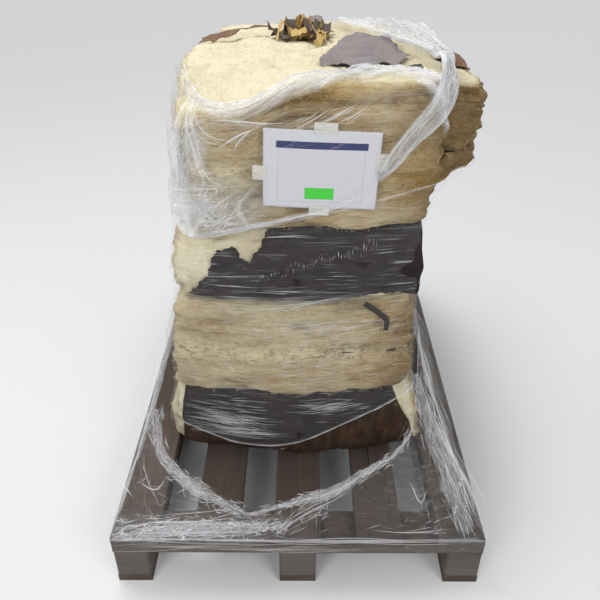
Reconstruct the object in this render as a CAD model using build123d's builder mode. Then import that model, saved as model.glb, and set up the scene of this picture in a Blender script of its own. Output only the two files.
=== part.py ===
"""Pallet load: four folded glass wool batts with paper facings, wrapped in stretch film on a wooden pallet.

Sizes are in millimetres. +Z is up, X runs across the load and -Y is the front, where the sheet is taped.
The origin is on the floor under the middle of the pallet.
"""
from build123d import *
import os
from math import atan2, copysign, cos, degrees, radians, sin, sqrt

os.makedirs("parts", exist_ok=True)

# Pallet, whose length is the stack's depth with the bare deck in front of it and behind it
batt_depth = 900
front_space = 240
rear_space = 60
pallet_length = front_space + batt_depth + rear_space
pallet_width = 800
board_thickness = 22
board_edge = 2
deck_board_count = 5
deck_board_width = 100
cross_board_width = 95
block_height = 78
block_length = 95
side_block_width = 75
middle_block_width = 80
block_chamfer = 4

# Stack, one value for each batt from the bottom up
stack_front = front_space - pallet_length / 2
batt_left = [305, 275, 252, 228]
batt_right = [303, 250, 246, 260]
batt_thickness = [186, 242, 172, 281]
fold_at_front = [True, False, True, False]
front_bow = 25
cut_radius = 30
side_chamfer = 14
fold_share = 0.38
slit = 3
top_fall = 45
top_half_thickness = 128
overhang_right = 385
overhang_left = 250
overhang_rear = 140
overhang_chamfer = 14
flare_left_back = 400
flare_right_back = 420
lobe_inset = 40
lobe_back = 60
lobe_far_back = 190
lobe_far_inset = 10

# Facing paper, film, sheet and tape
facing_thickness = 1
facing_inset = 26
skin_gap = 0.3
film_thickness = 1
film_gap = 0.8
hood_top = 985
hood_left_rear = 295
hood_depth = 640
hood_edge = [(235, 985), (150, 868), (10, 790)]
skirt_top = 520
skirt_lip = 20
skirt_lean = 5
front_lip = 40
valley_points = [
    (-276, 540), (-312, 370), (-282, 287), (-239, 233), (-101, 186), (43, 234), (185, 297), (238, 345), (254, 430),
    (256, 540),
]
wrap_edge_points = [(-330, 215), (-230, 172), (-60, 158), (100, 216), (240, 285), (330, 320)]
sheet_width = 210
sheet_height = 148
sheet_thickness = 0.5
sheet_turn = 2
sheet_x = 42
sheet_z = 881
tape_thickness = 0.3
sticker_width = 50
sticker_height = 22
scrap_thickness = 1
crumple_height = 45
crumple_taper = 30
crumple_outline = [(-75, -20), (-25, -62), (10, -80), (50, -40), (85, 0), (60, 60), (5, 80), (-50, 55)]
crumple_share = 0.578
strip_bend = [(-25, 572), (17, 548), (24, 521)]
strip_width = 12
tail_radius = 8
tail_sides = 8
tail_points = [(252, 975), (205, 915), (165, 868)]

# Heights through the pallet
block_base = board_thickness
block_top = block_base + block_height
cross_top = block_top + board_thickness
deck_top = cross_top + board_thickness
half_width = pallet_width / 2
half_length = pallet_length / 2
stack_rear = stack_front + batt_depth
skin = facing_thickness + skin_gap
overhang_end = stack_rear - overhang_rear
top_batt = len(batt_thickness) - 1


def board(name, width, length, x, y, base):
    """A sawn board with eased long edges, laid flat with its underside at base."""
    with BuildPart() as sawn:
        with BuildSketch(Plane.XY.offset(base)):
            with Locations((x, y)):
                Rectangle(width, length)
        extrude(amount=board_thickness)
        along = Axis.Y if length > width else Axis.X
        chamfer(sawn.faces().sort_by(Axis.Z)[-1].edges().filter_by(along), board_edge)
    sawn.part.label = name
    export_step(sawn.part, f"parts/{name}.step")


deck_pitch = (pallet_width - deck_board_width) / (deck_board_count - 1)
for place in range(deck_board_count):
    deck_x = -half_width + deck_board_width / 2 + place * deck_pitch
    board(f"deck_board_{place + 1}", deck_board_width, pallet_length, deck_x, 0, cross_top)

cross_y = half_length - cross_board_width / 2
block_y = half_length - block_length / 2
row_places = {"front": -1, "middle": 0, "rear": 1}
side_x = half_width - side_block_width / 2
line_places = {
    "left": (-side_x, side_block_width),
    "middle": (0, middle_block_width),
    "right": (side_x, side_block_width),
}

for row, sign in row_places.items():
    board(f"cross_board_{row}", pallet_width, cross_board_width, 0, sign * cross_y, block_top)

for line, (line_x, line_width) in line_places.items():
    board(f"bottom_board_{line}", line_width, pallet_length, line_x, 0, 0)

for row, sign in row_places.items():
    for line, (line_x, line_width) in line_places.items():
        with BuildPart() as block:
            with BuildSketch(Plane.XY.offset(block_base)):
                with Locations((line_x, sign * block_y)):
                    Rectangle(line_width, block_length)
            extrude(amount=block_height)
            chamfer(block.edges().filter_by(Axis.Z), block_chamfer)
        block.part.label = f"block_{row}_{line}"
        export_step(block.part, f"parts/block_{row}_{line}.step")


def bow_at(x, left, right):
    """How far the bowed front face stands back at x: nothing in the middle and front_bow at both sides.

    The bow is made of four flat faces, so half way to a side it stands back a quarter of front_bow.
    """
    share = abs(x - (right - left) / 2) / ((right + left) / 2)
    return front_bow * max(share / 2, (3 * share - 1) / 2)


def bow_stations(left, right, left_end, right_end):
    """Where the flat faces of the bowed front begin and end, from left_end to right_end."""
    middle, quarter = (right - left) / 2, (right + left) / 4
    return [left_end, middle - quarter, middle, middle + quarter, right_end]


def top_face(height):
    """The plane of the stack's top face, at height at the front and falling towards the rear."""
    fall_angle = degrees(atan2(top_fall, batt_depth))
    return Plane(origin=(0, stack_front, height), x_dir=(1, 0, 0), z_dir=(0, 0, 1)).rotated((-fall_angle, 0, 0))


def folded_form(index, base, left_end, right_end, grow):
    """The outside of one folded batt: round at the fold, with the small corners of a cut edge at the open end.

    The form reaches from left_end to right_end and is swollen by grow, for the paper that lies on it.
    """
    left, right = batt_left[index], batt_right[index]
    fall = top_fall if index == top_batt else 0
    height = batt_thickness[index] + 2 * grow
    fold_radius = fold_share * (height - fall)
    front_radius, rear_radius = (fold_radius, cut_radius) if fold_at_front[index] else (cut_radius, fold_radius)
    rear = stack_rear + grow
    low = base - grow
    with BuildPart() as form:
        for x in bow_stations(left, right, left_end, right_end):
            front = stack_front + bow_at(x, left, right) - grow
            front_top, rear_top = (low + height - fall * (y - stack_front) / batt_depth for y in (front, rear))
            with BuildSketch(Plane.YZ.offset(x)) as side_view:
                with BuildLine():
                    Polyline((front, low), (rear, low), (rear, rear_top), (front, front_top), close=True)
                make_face()
                corners = side_view.vertices().sort_by(Axis.Y)
                fillet(corners[:2], front_radius)
                fillet(side_view.vertices().sort_by(Axis.Y)[-2:], rear_radius)
        loft(ruled=True)
    return form.part


def lower_half(index):
    """The thickness of the lower half of a folded batt."""
    height = batt_thickness[index]
    return height - top_half_thickness - slit if index == top_batt else (height - slit) / 2


def folded_wool(index, base):
    """One batt folded once: the outer form less the slit where its two halves meet."""
    slit_base = base + lower_half(index)
    bend = fold_share * batt_thickness[index]
    slit_front = stack_front + bend if fold_at_front[index] else stack_front - bend
    with BuildPart() as wool:
        add(folded_form(index, base, -batt_left[index], batt_right[index], 0))
        sides = wool.faces().sort_by(Axis.X)
        chamfer(sides[0].edges() + sides[-1].edges(), side_chamfer)
        with BuildSketch(Plane.XY.offset(slit_base)):
            with Locations((0, slit_front)):
                Rectangle(2 * pallet_width, batt_depth, align=(Align.CENTER, Align.MIN))
        extrude(amount=slit, mode=Mode.SUBTRACT)
        if index == top_batt:
            with BuildSketch(Plane.XY.offset(slit_base)):
                with Locations((0, overhang_end)):
                    Rectangle(2 * pallet_width, batt_depth, align=(Align.CENTER, Align.MAX))
            extrude(amount=pallet_width, mode=Mode.SUBTRACT)
            add(spread_half(slit_base + slit))
    return wool.part


def spread_half(base):
    """The upper half of the top batt forward of its fold, which spreads past the stack, mostly to the right."""
    side_front = stack_front + front_bow
    left, right = batt_left[top_batt], batt_right[top_batt]
    front_line = [(x, stack_front + bow_at(x, left, right)) for x in bow_stations(left, right, -left, right)]
    with BuildPart() as spread:
        with BuildSketch(Plane.XY.offset(base)):
            with BuildLine():
                Polyline(
                    (-left + side_chamfer, overhang_end),
                    (-overhang_left, side_front + flare_left_back),
                    (-left, side_front + side_chamfer),
                    (-left + side_chamfer, side_front),
                    *front_line[1:],
                    (overhang_right - lobe_inset, side_front + lobe_back),
                    (overhang_right, side_front + lobe_far_back),
                    (overhang_right - lobe_far_inset, side_front + flare_right_back),
                    (right - side_chamfer, overhang_end),
                    close=True,
                )
            make_face()
        extrude(amount=2 * top_half_thickness)
        split(bisect_by=top_face(base + top_half_thickness), keep=Keep.BOTTOM)
        rear = spread.faces().sort_by(Axis.Y)[-1].edges()
        for level in (spread.faces().sort_by(Axis.Z)[-1], spread.faces().sort_by(Axis.Z)[0]):
            chamfer([edge for edge in level.edges() if edge not in rear], overhang_chamfer)
    return spread.part


def outer_facing(index, base):
    """Paper on the outside of a folded batt: a thin skin over top, fold and underside, open at the cut end."""
    left, right = batt_left[index] - facing_inset, batt_right[index] - facing_inset
    with BuildPart() as paper:
        add(folded_form(index, base, -left, right, skin))
        add(folded_form(index, base, -batt_left[index], batt_right[index], skin_gap), mode=Mode.SUBTRACT)
        with BuildSketch(Plane.XY.offset(base - 2 * skin)):
            with Locations((0, stack_rear - cut_radius)):
                Rectangle(2 * pallet_width, batt_depth, align=(Align.CENTER, Align.MIN))
        extrude(amount=batt_thickness[index] + 4 * skin, mode=Mode.SUBTRACT)
    return paper.part


def inner_facing(index, base):
    """Paper on the inside of a folded batt: two plies in the slit, joined at the fold."""
    half = lower_half(index)
    left, right = batt_left[index] - facing_inset, batt_right[index] - facing_inset
    ply_gap = slit - 2 * skin
    length = batt_depth - fold_share * batt_thickness[index] - front_bow - 2 * skin_gap
    with BuildPart() as paper:
        with BuildSketch(Plane.XY.offset(base + half + skin_gap)):
            with Locations(((right - left) / 2, stack_front + front_bow)):
                Rectangle(left + right, length, align=(Align.CENTER, Align.MIN))
        extrude(amount=2 * facing_thickness + ply_gap)
        with BuildSketch(Plane.XY.offset(base + half + skin_gap + facing_thickness)):
            with Locations(((right - left) / 2, stack_front + front_bow)):
                Rectangle(left + right, length - facing_thickness, align=(Align.CENTER, Align.MIN))
        extrude(amount=ply_gap, mode=Mode.SUBTRACT)
    return paper.part


batt_base = []
level = deck_top
for index, outside in enumerate(fold_at_front):
    paper_allowance = skin if outside else 0
    batt_base.append(level + paper_allowance)
    level = batt_base[-1] + batt_thickness[index] + paper_allowance
stack_top = level

for index, outside in enumerate(fold_at_front):
    with BuildPart() as batt:
        add(folded_wool(index, batt_base[index]))
    batt.part.label = f"batt_{index + 1}"
    export_step(batt.part, f"parts/batt_{index + 1}.step")
    with BuildPart() as facing:
        add(outer_facing(index, batt_base[index]) if outside else inner_facing(index, batt_base[index]))
    facing.part.label = f"facing_{index + 1}"
    export_step(facing.part, f"parts/facing_{index + 1}.step")


def plan_outline(height, left_front, left_rear, right, grow):
    """A closed outline round the stack at one height, with the bowed front and cut corners."""
    stations = bow_stations(left_front, right, -left_front, right)
    front_line = [(x, stack_front + bow_at(x, left_front, right) - grow) for x in stations]
    side_front = front_line[0][1]
    front_line[0] = (-left_front - grow, side_front)
    front_line[-1] = (right + grow, side_front)
    rear = stack_rear + grow
    with BuildSketch(Plane.XY.offset(height)) as outline:
        with BuildLine():
            Polyline(*front_line, (right + grow, rear), (-left_rear - grow, rear), close=True)
        make_face()
        corners = [corner for corner in outline.vertices() if not stations[1] - 1 < corner.X < stations[-2] + 1]
        chamfer(corners, side_chamfer + (2 - sqrt(2)) * grow)
    return outline.sketch


# Each turn of the tight wrap stands on the batt beside it and bridges to the next one
film_inside = skin + film_gap
wrap_top = batt_base[3] - skin_gap
film_outside = film_inside + film_thickness
bridge_share = 0.35
wrap_levels = [
    (deck_top + 8, batt_left[0], batt_right[0]),
    (batt_base[0] + batt_thickness[0], batt_left[0], batt_right[0]),
    (batt_base[1] + bridge_share * batt_thickness[1], batt_left[1], batt_right[1]),
    (batt_base[1] + batt_thickness[1], batt_left[1], batt_right[1]),
    (batt_base[2] + bridge_share * batt_thickness[2], batt_left[2], batt_right[2]),
    (wrap_top, batt_left[2], batt_right[2]),
]


def wrap_tube(grow, extra):
    """A tube round the stack through the wrap levels, reaching extra past both ends."""
    heights = [height for height, left, right in wrap_levels]
    heights[0] -= extra
    heights[-1] += extra
    with BuildPart() as tube:
        turns = [
            plan_outline(height, left, left, right, grow)
            for height, (level, left, right) in zip(heights, wrap_levels)
        ]
        loft(turns, ruled=True)
    return tube.part


with BuildPart() as film_wrap:
    add(wrap_tube(film_outside, 0))
    add(wrap_tube(film_inside, 1), mode=Mode.SUBTRACT)
    with BuildSketch(Plane.XZ) as lower_edge:
        with BuildLine():
            edge = Polyline(*wrap_edge_points)
            Polyline(edge @ 1, (pallet_width, 0), (-pallet_width, 0), edge @ 0)
        make_face()
    extrude(amount=pallet_length, both=True, mode=Mode.SUBTRACT)
film_wrap.part.label = "film_wrap"
export_step(film_wrap.part, "parts/film_wrap.step")

with BuildPart() as film_hood:
    hood_base = wrap_top + skin_gap
    hood_reach = (batt_left[3], hood_left_rear, batt_right[3])
    extrude(plan_outline(hood_base, *hood_reach, film_outside), amount=hood_top - hood_base)
    extrude(plan_outline(hood_base, *hood_reach, film_inside), amount=hood_top - hood_base, mode=Mode.SUBTRACT)
    with BuildSketch(Plane.XZ) as below_edge:
        with BuildLine():
            Polyline(
                (-pallet_width, 0), (pallet_width, 0), (pallet_width, 2 * hood_top), (hood_edge[0][0], 2 * hood_top),
                *hood_edge, (side_chamfer - batt_left[3], hood_base), (-pallet_width, hood_base), close=True,
            )
        make_face()
    extrude(amount=pallet_length, both=True, mode=Mode.SUBTRACT)
    with BuildSketch(Plane.XY.offset(hood_base)):
        with Locations((0, stack_front + hood_depth)):
            Rectangle(2 * pallet_width, pallet_length, align=(Align.CENTER, Align.MIN))
    extrude(amount=pallet_length, mode=Mode.SUBTRACT)
film_hood.part.label = "film_hood"
export_step(film_hood.part, "parts/film_hood.step")


def film_front(x, left, right):
    """The outer face of the film on the front at x."""
    return stack_front + bow_at(x, left, right) - film_outside


# The skirt runs from the pallet's edges up to the wrap, each side a flat panel with a lip over the deck's edge
turn = film_thickness + skin_gap
head_left = batt_left[1] + film_outside + turn
head_right = batt_right[1] + film_outside + turn
head_front = film_outside + turn - stack_front
head_rear = stack_rear + film_outside + turn


def foot_out(pallet_half, head, batt_reach):
    """How far out the skirt's foot stands: at the pallet's edge, or further where the lowest batt needs the room."""
    batt_share = (skirt_top - batt_base[0] - batt_thickness[0]) / (skirt_top - deck_top)
    clear_of_batt = head + (batt_reach + film_outside + turn - head) / batt_share
    return max(pallet_half + turn, clear_of_batt, head + skirt_lean)


foot_left = foot_out(half_width, head_left, batt_left[0])
foot_right = foot_out(half_width, head_right, batt_right[0])
foot_front = foot_out(half_length, head_front, -stack_front)
foot_rear = foot_out(half_length, head_rear, stack_rear)
front_left = ((-foot_left, -foot_front), (-head_left, -head_front))
front_right = ((foot_right, -foot_front), (head_right, -head_front))
rear_right = ((foot_right, foot_rear), (head_right, head_rear))
rear_left = ((-foot_left, foot_rear), (-head_left, head_rear))
skirt_sides = {
    "front": (front_left, front_right),
    "right": (front_right, rear_right),
    "rear": (rear_right, rear_left),
    "left": (rear_left, front_left),
}
foot_reach = 1.02

for side, ((foot_a, head_a), (foot_b, head_b)) in skirt_sides.items():
    across = side in ("front", "rear")
    lip = front_lip if across else skirt_lip
    foot_at, head_at = (foot_a[1], head_a[1]) if across else (foot_a[0], head_a[0])
    with BuildPart() as skirt:
        with BuildSketch(Plane.YZ if across else Plane.XZ):
            with BuildLine():
                inward = -copysign(film_thickness, foot_at)
                Polyline(
                    (foot_at, deck_top - lip),
                    (foot_at, deck_top),
                    (head_at, skirt_top),
                    (head_at + inward, skirt_top),
                    (foot_at + inward, deck_top),
                    (foot_at + inward, deck_top - lip),
                    close=True,
                )
            make_face()
        extrude(amount=pallet_length, both=True)
        with BuildSketch(Plane.XY):
            with BuildLine():
                head_reach = -film_thickness / abs(foot_at - head_at)
                mitre = [
                    tuple(h + reach * (f - h) for f, h in zip(foot, head))
                    for foot, head, reach in (
                        (foot_a, head_a, foot_reach), (foot_b, head_b, foot_reach),
                        (foot_b, head_b, head_reach), (foot_a, head_a, head_reach),
                    )
                ]
                Polyline(*mitre, close=True)
            make_face()
        extrude(amount=2 * skirt_top, mode=Mode.INTERSECT)
        if side == "front":
            with BuildSketch(Plane.XZ):
                with BuildLine():
                    Polyline(*valley_points, close=True)
                make_face()
            extrude(amount=pallet_length, both=True, mode=Mode.SUBTRACT)
    skirt.part.label = f"film_skirt_{side}"
    export_step(skirt.part, f"parts/film_skirt_{side}.step")

# The sloping top face carries the loose film and the scraps: x across, y back from the front edge
on_top = top_face(stack_top + skin_gap)
band_width = 44
band_height = 8

with BuildPart() as film_band:
    with BuildLine(on_top.offset(band_height / 2)) as band_path:
        band_line = FilletPolyline((-205, 160), (-160, 50), (0, 28), (110, 60), (222, 118), radius=60)
    with BuildSketch(Plane(band_line @ 0, z_dir=band_line % 0, x_dir=on_top.z_dir)):
        Rectangle(band_height, band_width)
    sweep(path=band_line)
film_band.part.label = "film_band"
export_step(film_band.part, "parts/film_band.step")

# The film that comes over the top: wide at the rear, bunched at the right front corner, then a tail down the front
fan_start = 40
fan_sections = [(batt_depth - fan_start, 185, 230, 10), (510, 218, 165, 12), (140, 262, 46, 22), (60, 266, 26, 20)]
bend_start = on_top.from_local_coords((266, 75, 10))
bend_point = on_top.from_local_coords((266, 2, 6))

with BuildPart() as film_twist:
    for back, x, width, height in fan_sections:
        lift = scrap_thickness + skin_gap + height / 2
        place = Plane(on_top.from_local_coords((x, back, lift)), x_dir=(1, 0, 0), z_dir=on_top.y_dir)
        with BuildSketch(place) as fan_section:
            Rectangle(width, height)
            chamfer(fan_section.vertices(), height / 3)
    loft(ruled=True)
    tail_clear = tail_radius + skin_gap
    with BuildLine() as tail_path:
        tail_line = FilletPolyline(
            bend_start,
            bend_point,
            *[(x, film_front(x, batt_left[3], batt_right[3]) - tail_clear, z) for x, z in tail_points],
            radius=20,
        )
    with BuildSketch(Plane(tail_line @ 0, z_dir=tail_line % 0)):
        RegularPolygon(tail_radius, tail_sides)
    sweep(path=tail_line)
film_twist.part.label = "film_twist"
export_step(film_twist.part, "parts/film_twist.step")

# The sheet stands flat on the film in front, with its tapes and sticker on it
sheet_face = stack_front - film_outside - skin_gap
sheet_along = (cos(radians(sheet_turn)), 0, -sin(radians(sheet_turn)))
sheet_plane = Plane(origin=(sheet_x, sheet_face, sheet_z), x_dir=sheet_along, z_dir=(0, -1, 0))

with BuildPart() as sign_sheet:
    with BuildSketch(sheet_plane):
        Rectangle(sheet_width, sheet_height)
    extrude(amount=sheet_thickness)
sign_sheet.part.label = "sign_sheet"
export_step(sign_sheet.part, "parts/sign_sheet.step")

on_sheet = {
    "price_sticker": (0, -46, sticker_width, sticker_height),
    "tape_top": (5, sheet_height / 2 + 4, 42, 20),
    "tape_bottom": (0, -sheet_height / 2 - 4, 38, 20),
    "tape_left": (-sheet_width / 2 - 6, -8, 26, 28),
    "tape_right": (sheet_width / 2 + 4, 18, 22, 34),
}
for name, (x, y, width, height) in on_sheet.items():
    with BuildPart() as strip:
        with BuildSketch(sheet_plane.offset(sheet_thickness)):
            with Locations((x, y)):
                Rectangle(width, height)
        extrude(amount=tape_thickness)
    strip.part.label = name
    export_step(strip.part, f"parts/{name}.step")

# Torn pieces of paper that lie flat on the top, each at its own share of the stack's depth from the front
top_scraps = {
    "grey_flap": (0.325, [(42, -98), (98, 102), (185, 128), (205, 8), (180, -102), (98, -128)]),
    "small_grey_flap": (0.811, [(30, -80), (60, -30), (60, 60), (40, 80), (10, 0)]),
    "kraft_flap": (0.367, [(300, -30), (290, 70), (330, 100), (362, 0), (340, -100)]),
    "dark_tab_left": (0.117, [(76, -9), (76, 5), (100, 9), (98, -5)]),
    "dark_tab_right": (0.177, [(214, -9), (212, 7), (234, 9), (234, -7)]),
    "torn_edge_strip": (0.580, [(-225, -52), (-150, -22), (-80, 38), (-75, 53), (-150, -6), (-226, -36)]),
}
for name, (depth_share, corners) in top_scraps.items():
    with BuildPart() as scrap:
        with BuildSketch(on_top):
            with Locations((0, depth_share * batt_depth)):
                Polygon(*corners, align=None)
        extrude(amount=scrap_thickness)
    scrap.part.label = name
    export_step(scrap.part, f"parts/{name}.step")

with BuildPart() as crumpled_scrap:
    with BuildSketch(on_top):
        with Locations((0, crumple_share * batt_depth)):
            Polygon(*crumple_outline, align=None)
    extrude(amount=crumple_height, taper=crumple_taper)
crumpled_scrap.part.label = "crumpled_scrap"
export_step(crumpled_scrap.part, "parts/crumpled_scrap.step")

# The bent strip of paper on the film beside the second batt
strip_x = 165
strip_y = film_front(strip_x, batt_left[1], batt_right[1]) - 2 * skin_gap
strip_reach = 30
strip_rise = film_front(strip_x + strip_reach, batt_left[1], batt_right[1]) - film_front(
    strip_x - strip_reach, batt_left[1], batt_right[1]
)
with BuildPart() as dark_strip:
    strip_plane = Plane(
        origin=(strip_x, strip_y, 0), x_dir=(2 * strip_reach, strip_rise, 0), z_dir=(strip_rise, -2 * strip_reach, 0)
    )
    with BuildSketch(strip_plane):
        with BuildLine() as strip_path:
            Polyline(*strip_bend)
        trace(line_width=strip_width)
    extrude(amount=scrap_thickness)
dark_strip.part.label = "dark_strip"
export_step(dark_strip.part, "parts/dark_strip.step")
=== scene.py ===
"""Dresses the pallet load of folded glass wool batts: wool, facing paper, stretch film, sheet and wood."""
import math
from functools import lru_cache

import bmesh
import bpy
import numpy as np
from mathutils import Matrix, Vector
from mathutils.bvhtree import BVHTree
from mathutils.geometry import delaunay_2d_cdt


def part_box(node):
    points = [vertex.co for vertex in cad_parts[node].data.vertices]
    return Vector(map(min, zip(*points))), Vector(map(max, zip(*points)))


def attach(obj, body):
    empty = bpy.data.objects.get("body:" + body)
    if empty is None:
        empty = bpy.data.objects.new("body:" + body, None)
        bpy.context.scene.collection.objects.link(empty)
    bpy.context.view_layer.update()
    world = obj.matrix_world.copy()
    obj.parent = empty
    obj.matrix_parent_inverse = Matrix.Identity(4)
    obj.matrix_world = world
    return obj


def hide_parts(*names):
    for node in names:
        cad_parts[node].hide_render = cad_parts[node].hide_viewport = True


bl_info = {
    "name": "Insulation Pallet Dresser",
    "version": (1, 0, 0),
    "blender": (4, 5, 0),
    "location": "View3D > Sidebar > Pallet Load",
    "description": "Dresses a pallet load of folded glass wool batts wrapped in stretch film",
    "category": "Object",
}

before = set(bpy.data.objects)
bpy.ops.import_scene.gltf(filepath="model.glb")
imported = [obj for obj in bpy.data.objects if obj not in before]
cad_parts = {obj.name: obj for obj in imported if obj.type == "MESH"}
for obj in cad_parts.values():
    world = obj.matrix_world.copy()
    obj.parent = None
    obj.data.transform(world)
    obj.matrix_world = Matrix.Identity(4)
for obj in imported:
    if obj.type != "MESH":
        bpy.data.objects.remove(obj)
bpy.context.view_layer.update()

# The stack's own values, in metres, as the solids have them
STACK_FRONT = -0.36
STACK_REAR = 0.54
FRONT_BOW = 0.025
DECK_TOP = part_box("deck_board_1")[1][2]
BATT_DEPTH = 0.9
TOP_FALL = 0.045
BOW_HALF_WIDTH = 0.26
DECK_HALF_WIDTH = 0.4013
DECK_HALF_LENGTH = 0.6013
BATT_COUNT = 4
FOLD_AT_FRONT = (True, False, True, False)
SEAM_SHARE = (0.5, 0.5, 0.5, 0.535)
SIDE_RADIUS = 0.02
AGE = (0.35, 0.85, 0.35, 1.0)
AGE_ACROSS = (
    ((-0.30, 0.8), (0.20, 1.5), (0.26, 2.8)),
    ((-0.28, 0.7), (0.0, 0.9), (0.12, 1.0), (0.24, 1.6)),
    ((-0.26, 0.7), (0.24, 1.6)),
    ((-0.23, 0.2), (-0.19, 0.5), (-0.155, 1.0), (-0.08, 1.05), (0.0, 1.0), (0.15, 0.95), (0.26, 1.45),
     (0.38, 1.6)),
)
CUT_RADIUS = 0.03
FOLD_SHARE = 0.38
SAG_RADIUS = (0.045, 0.09, 0.050, 0.09)

# The film: the radius that turns its angle into a length, its gaps from the wool and its skirt's head
WRAP_RADIUS = 0.36
WOOL_GAP = 0.004
FOLD_GAP = 0.0065
HOOD_FOLD_GAP = 0.011
SKIRT_TOP = 0.52
SKIRT_HEAD = 0.365
SKIRT_REAR = 0.545
SKIRT_LEFT = -0.279
SKIRT_RIGHT = 0.254
TURN = np.array(((0.8, 0.6, 0.0), (-0.6, 0.8, 0.0), (0.0, 0.0, 1.0)))
CENTRE = np.array((0.0, 0.09))
CORE = np.array((0.0, 0.09, 0.55))


# Noise and small number helpers
def noise(points, seed=0):
    """Smooth noise from 0 to 1 at each point, the same on every run."""
    cell = np.floor(points).astype(np.int64)
    part = points - cell
    part = part * part * (3 - 2 * part)
    total = np.zeros(points.shape[:-1])
    for corner in np.ndindex(2, 2, 2):
        key = (cell + np.array(corner)) @ np.array((73856093, 19349663, 83492791)) + seed * 15485863
        key = (key ^ (key >> 13)) * 1274126177 & 0xFFFFFFFF
        key = (key ^ (key >> 15)) * 2246822519 & 0xFFFFFFFF
        value = ((key ^ (key >> 16)) & 0xFFFF) / 65535
        weight = np.prod(np.where(corner, part, 1 - part), axis=-1)
        total += weight * value
    return total


def swing(points, scale, seed):
    """Noise from -1 to 1 with its own scale along each axis."""
    return 2 * noise(points * np.array(scale), seed) - 1


def ridge(points, scale, seed):
    """Noise that is 1 along thin wandering lines and falls to 0 between them."""
    return 1 - np.abs(swing(points, scale, seed))


def smooth_step(low, high, value):
    """0 below low, 1 above high, and smooth between them."""
    share = np.clip((np.asarray(value, float) - low) / (high - low), 0, 1)
    return share * share * (3 - 2 * share)


def lookup(value, table):
    """Reads a table of (key, value) pairs with straight lines between its rows."""
    keys, values = zip(*table)
    return np.interp(value, keys, values)


def resample(line, count):
    """Evenly spaced points along a line of points."""
    line = np.asarray(line, float)
    lengths = np.concatenate(([0], np.cumsum(np.linalg.norm(np.diff(line, axis=0), axis=1))))
    wanted = np.linspace(0, lengths[-1], count)
    return np.stack([np.interp(wanted, lengths, line[:, axis]) for axis in range(line.shape[1])], axis=1)


def rounded_line(line, rounds=3):
    """A line of points with its corners cut smooth."""
    line = np.asarray(line, float)
    for _ in range(rounds):
        first = 0.75 * line[:-1] + 0.25 * line[1:]
        second = 0.25 * line[:-1] + 0.75 * line[1:]
        middle = np.stack([first, second], axis=1).reshape(-1, line.shape[1])
        line = np.concatenate([line[:1], middle, line[-1:]])
    return line


def unit(vectors, tiny=1e-12):
    """Vectors brought to length 1."""
    return vectors / np.maximum(np.linalg.norm(vectors, axis=-1, keepdims=True), tiny)


def place_at(across, along):
    """Points with two coordinates and a zero, to read noise at."""
    across, along = np.broadcast_arrays(across, along)
    return np.stack([across, along, 0.0 * along], axis=-1)


def grid_normals(points, closed):
    """Unit normals of a grid of points, rows by columns; closed says that the columns join up."""
    down = np.gradient(points, axis=0)
    if closed:
        along = np.roll(points, -1, axis=1) - np.roll(points, 1, axis=1)
    else:
        along = np.gradient(points, axis=1)
    return unit(np.cross(down, along), 1e-9)


def grid_faces(rows, columns, closed=False):
    """The quads of a grid of points."""
    first = np.arange(rows * columns).reshape(rows, columns)
    if closed:
        first = np.concatenate([first, first[:, :1]], axis=1)
    quads = np.stack([first[:-1, :-1], first[:-1, 1:], first[1:, 1:], first[1:, :-1]], axis=-1)
    return quads.reshape(-1, 4)


# Meshes and pieces
def make_mesh(name, points, faces, attributes=None):
    """A mesh from points and faces, with one value or vector at each point for each attribute."""
    mesh = bpy.data.meshes.new(name)
    points = np.asarray(points, float).reshape(-1, 3).tolist()
    mesh.from_pydata(points, [], [list(map(int, face)) for face in faces])
    for key, values in (attributes or {}).items():
        values = np.asarray(values, np.float32)
        if values.shape[-1] == 3 and values.ndim > 1 and values.size == 3 * len(mesh.vertices):
            mesh.attributes.new(key, "FLOAT_VECTOR", "POINT").data.foreach_set("vector", values.ravel())
        else:
            mesh.attributes.new(key, "FLOAT", "POINT").data.foreach_set("value", values.ravel())
    mesh.shade_smooth()
    mesh.update()
    return mesh


def make_piece(mesh, material, replaced=(), thickness=0.0, weld=False, outward=False, loose_off=False):
    """Links a finished mesh as one piece of the load, on the load's only body."""
    shape = bmesh.new()
    shape.from_mesh(mesh)
    if loose_off:
        bare = [point for point in shape.verts if not point.link_faces]
        bmesh.ops.delete(shape, geom=bare, context="VERTS")
    if weld:
        bmesh.ops.remove_doubles(shape, verts=shape.verts, dist=1e-5)
        bmesh.ops.dissolve_degenerate(shape, edges=shape.edges, dist=1e-6)
    if outward:
        bmesh.ops.recalc_face_normals(shape, faces=shape.faces)
    shape.to_mesh(mesh)
    shape.free()
    piece = bpy.data.objects.new(mesh.name, mesh)
    bpy.context.scene.collection.objects.link(piece)
    mesh.materials.append(material)
    if thickness:
        wall = piece.modifiers.new("Thickness", "SOLIDIFY")
        wall.thickness = thickness
        wall.offset = 0
    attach(piece, "root")
    if replaced:
        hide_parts(*replaced)
    return piece


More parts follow.
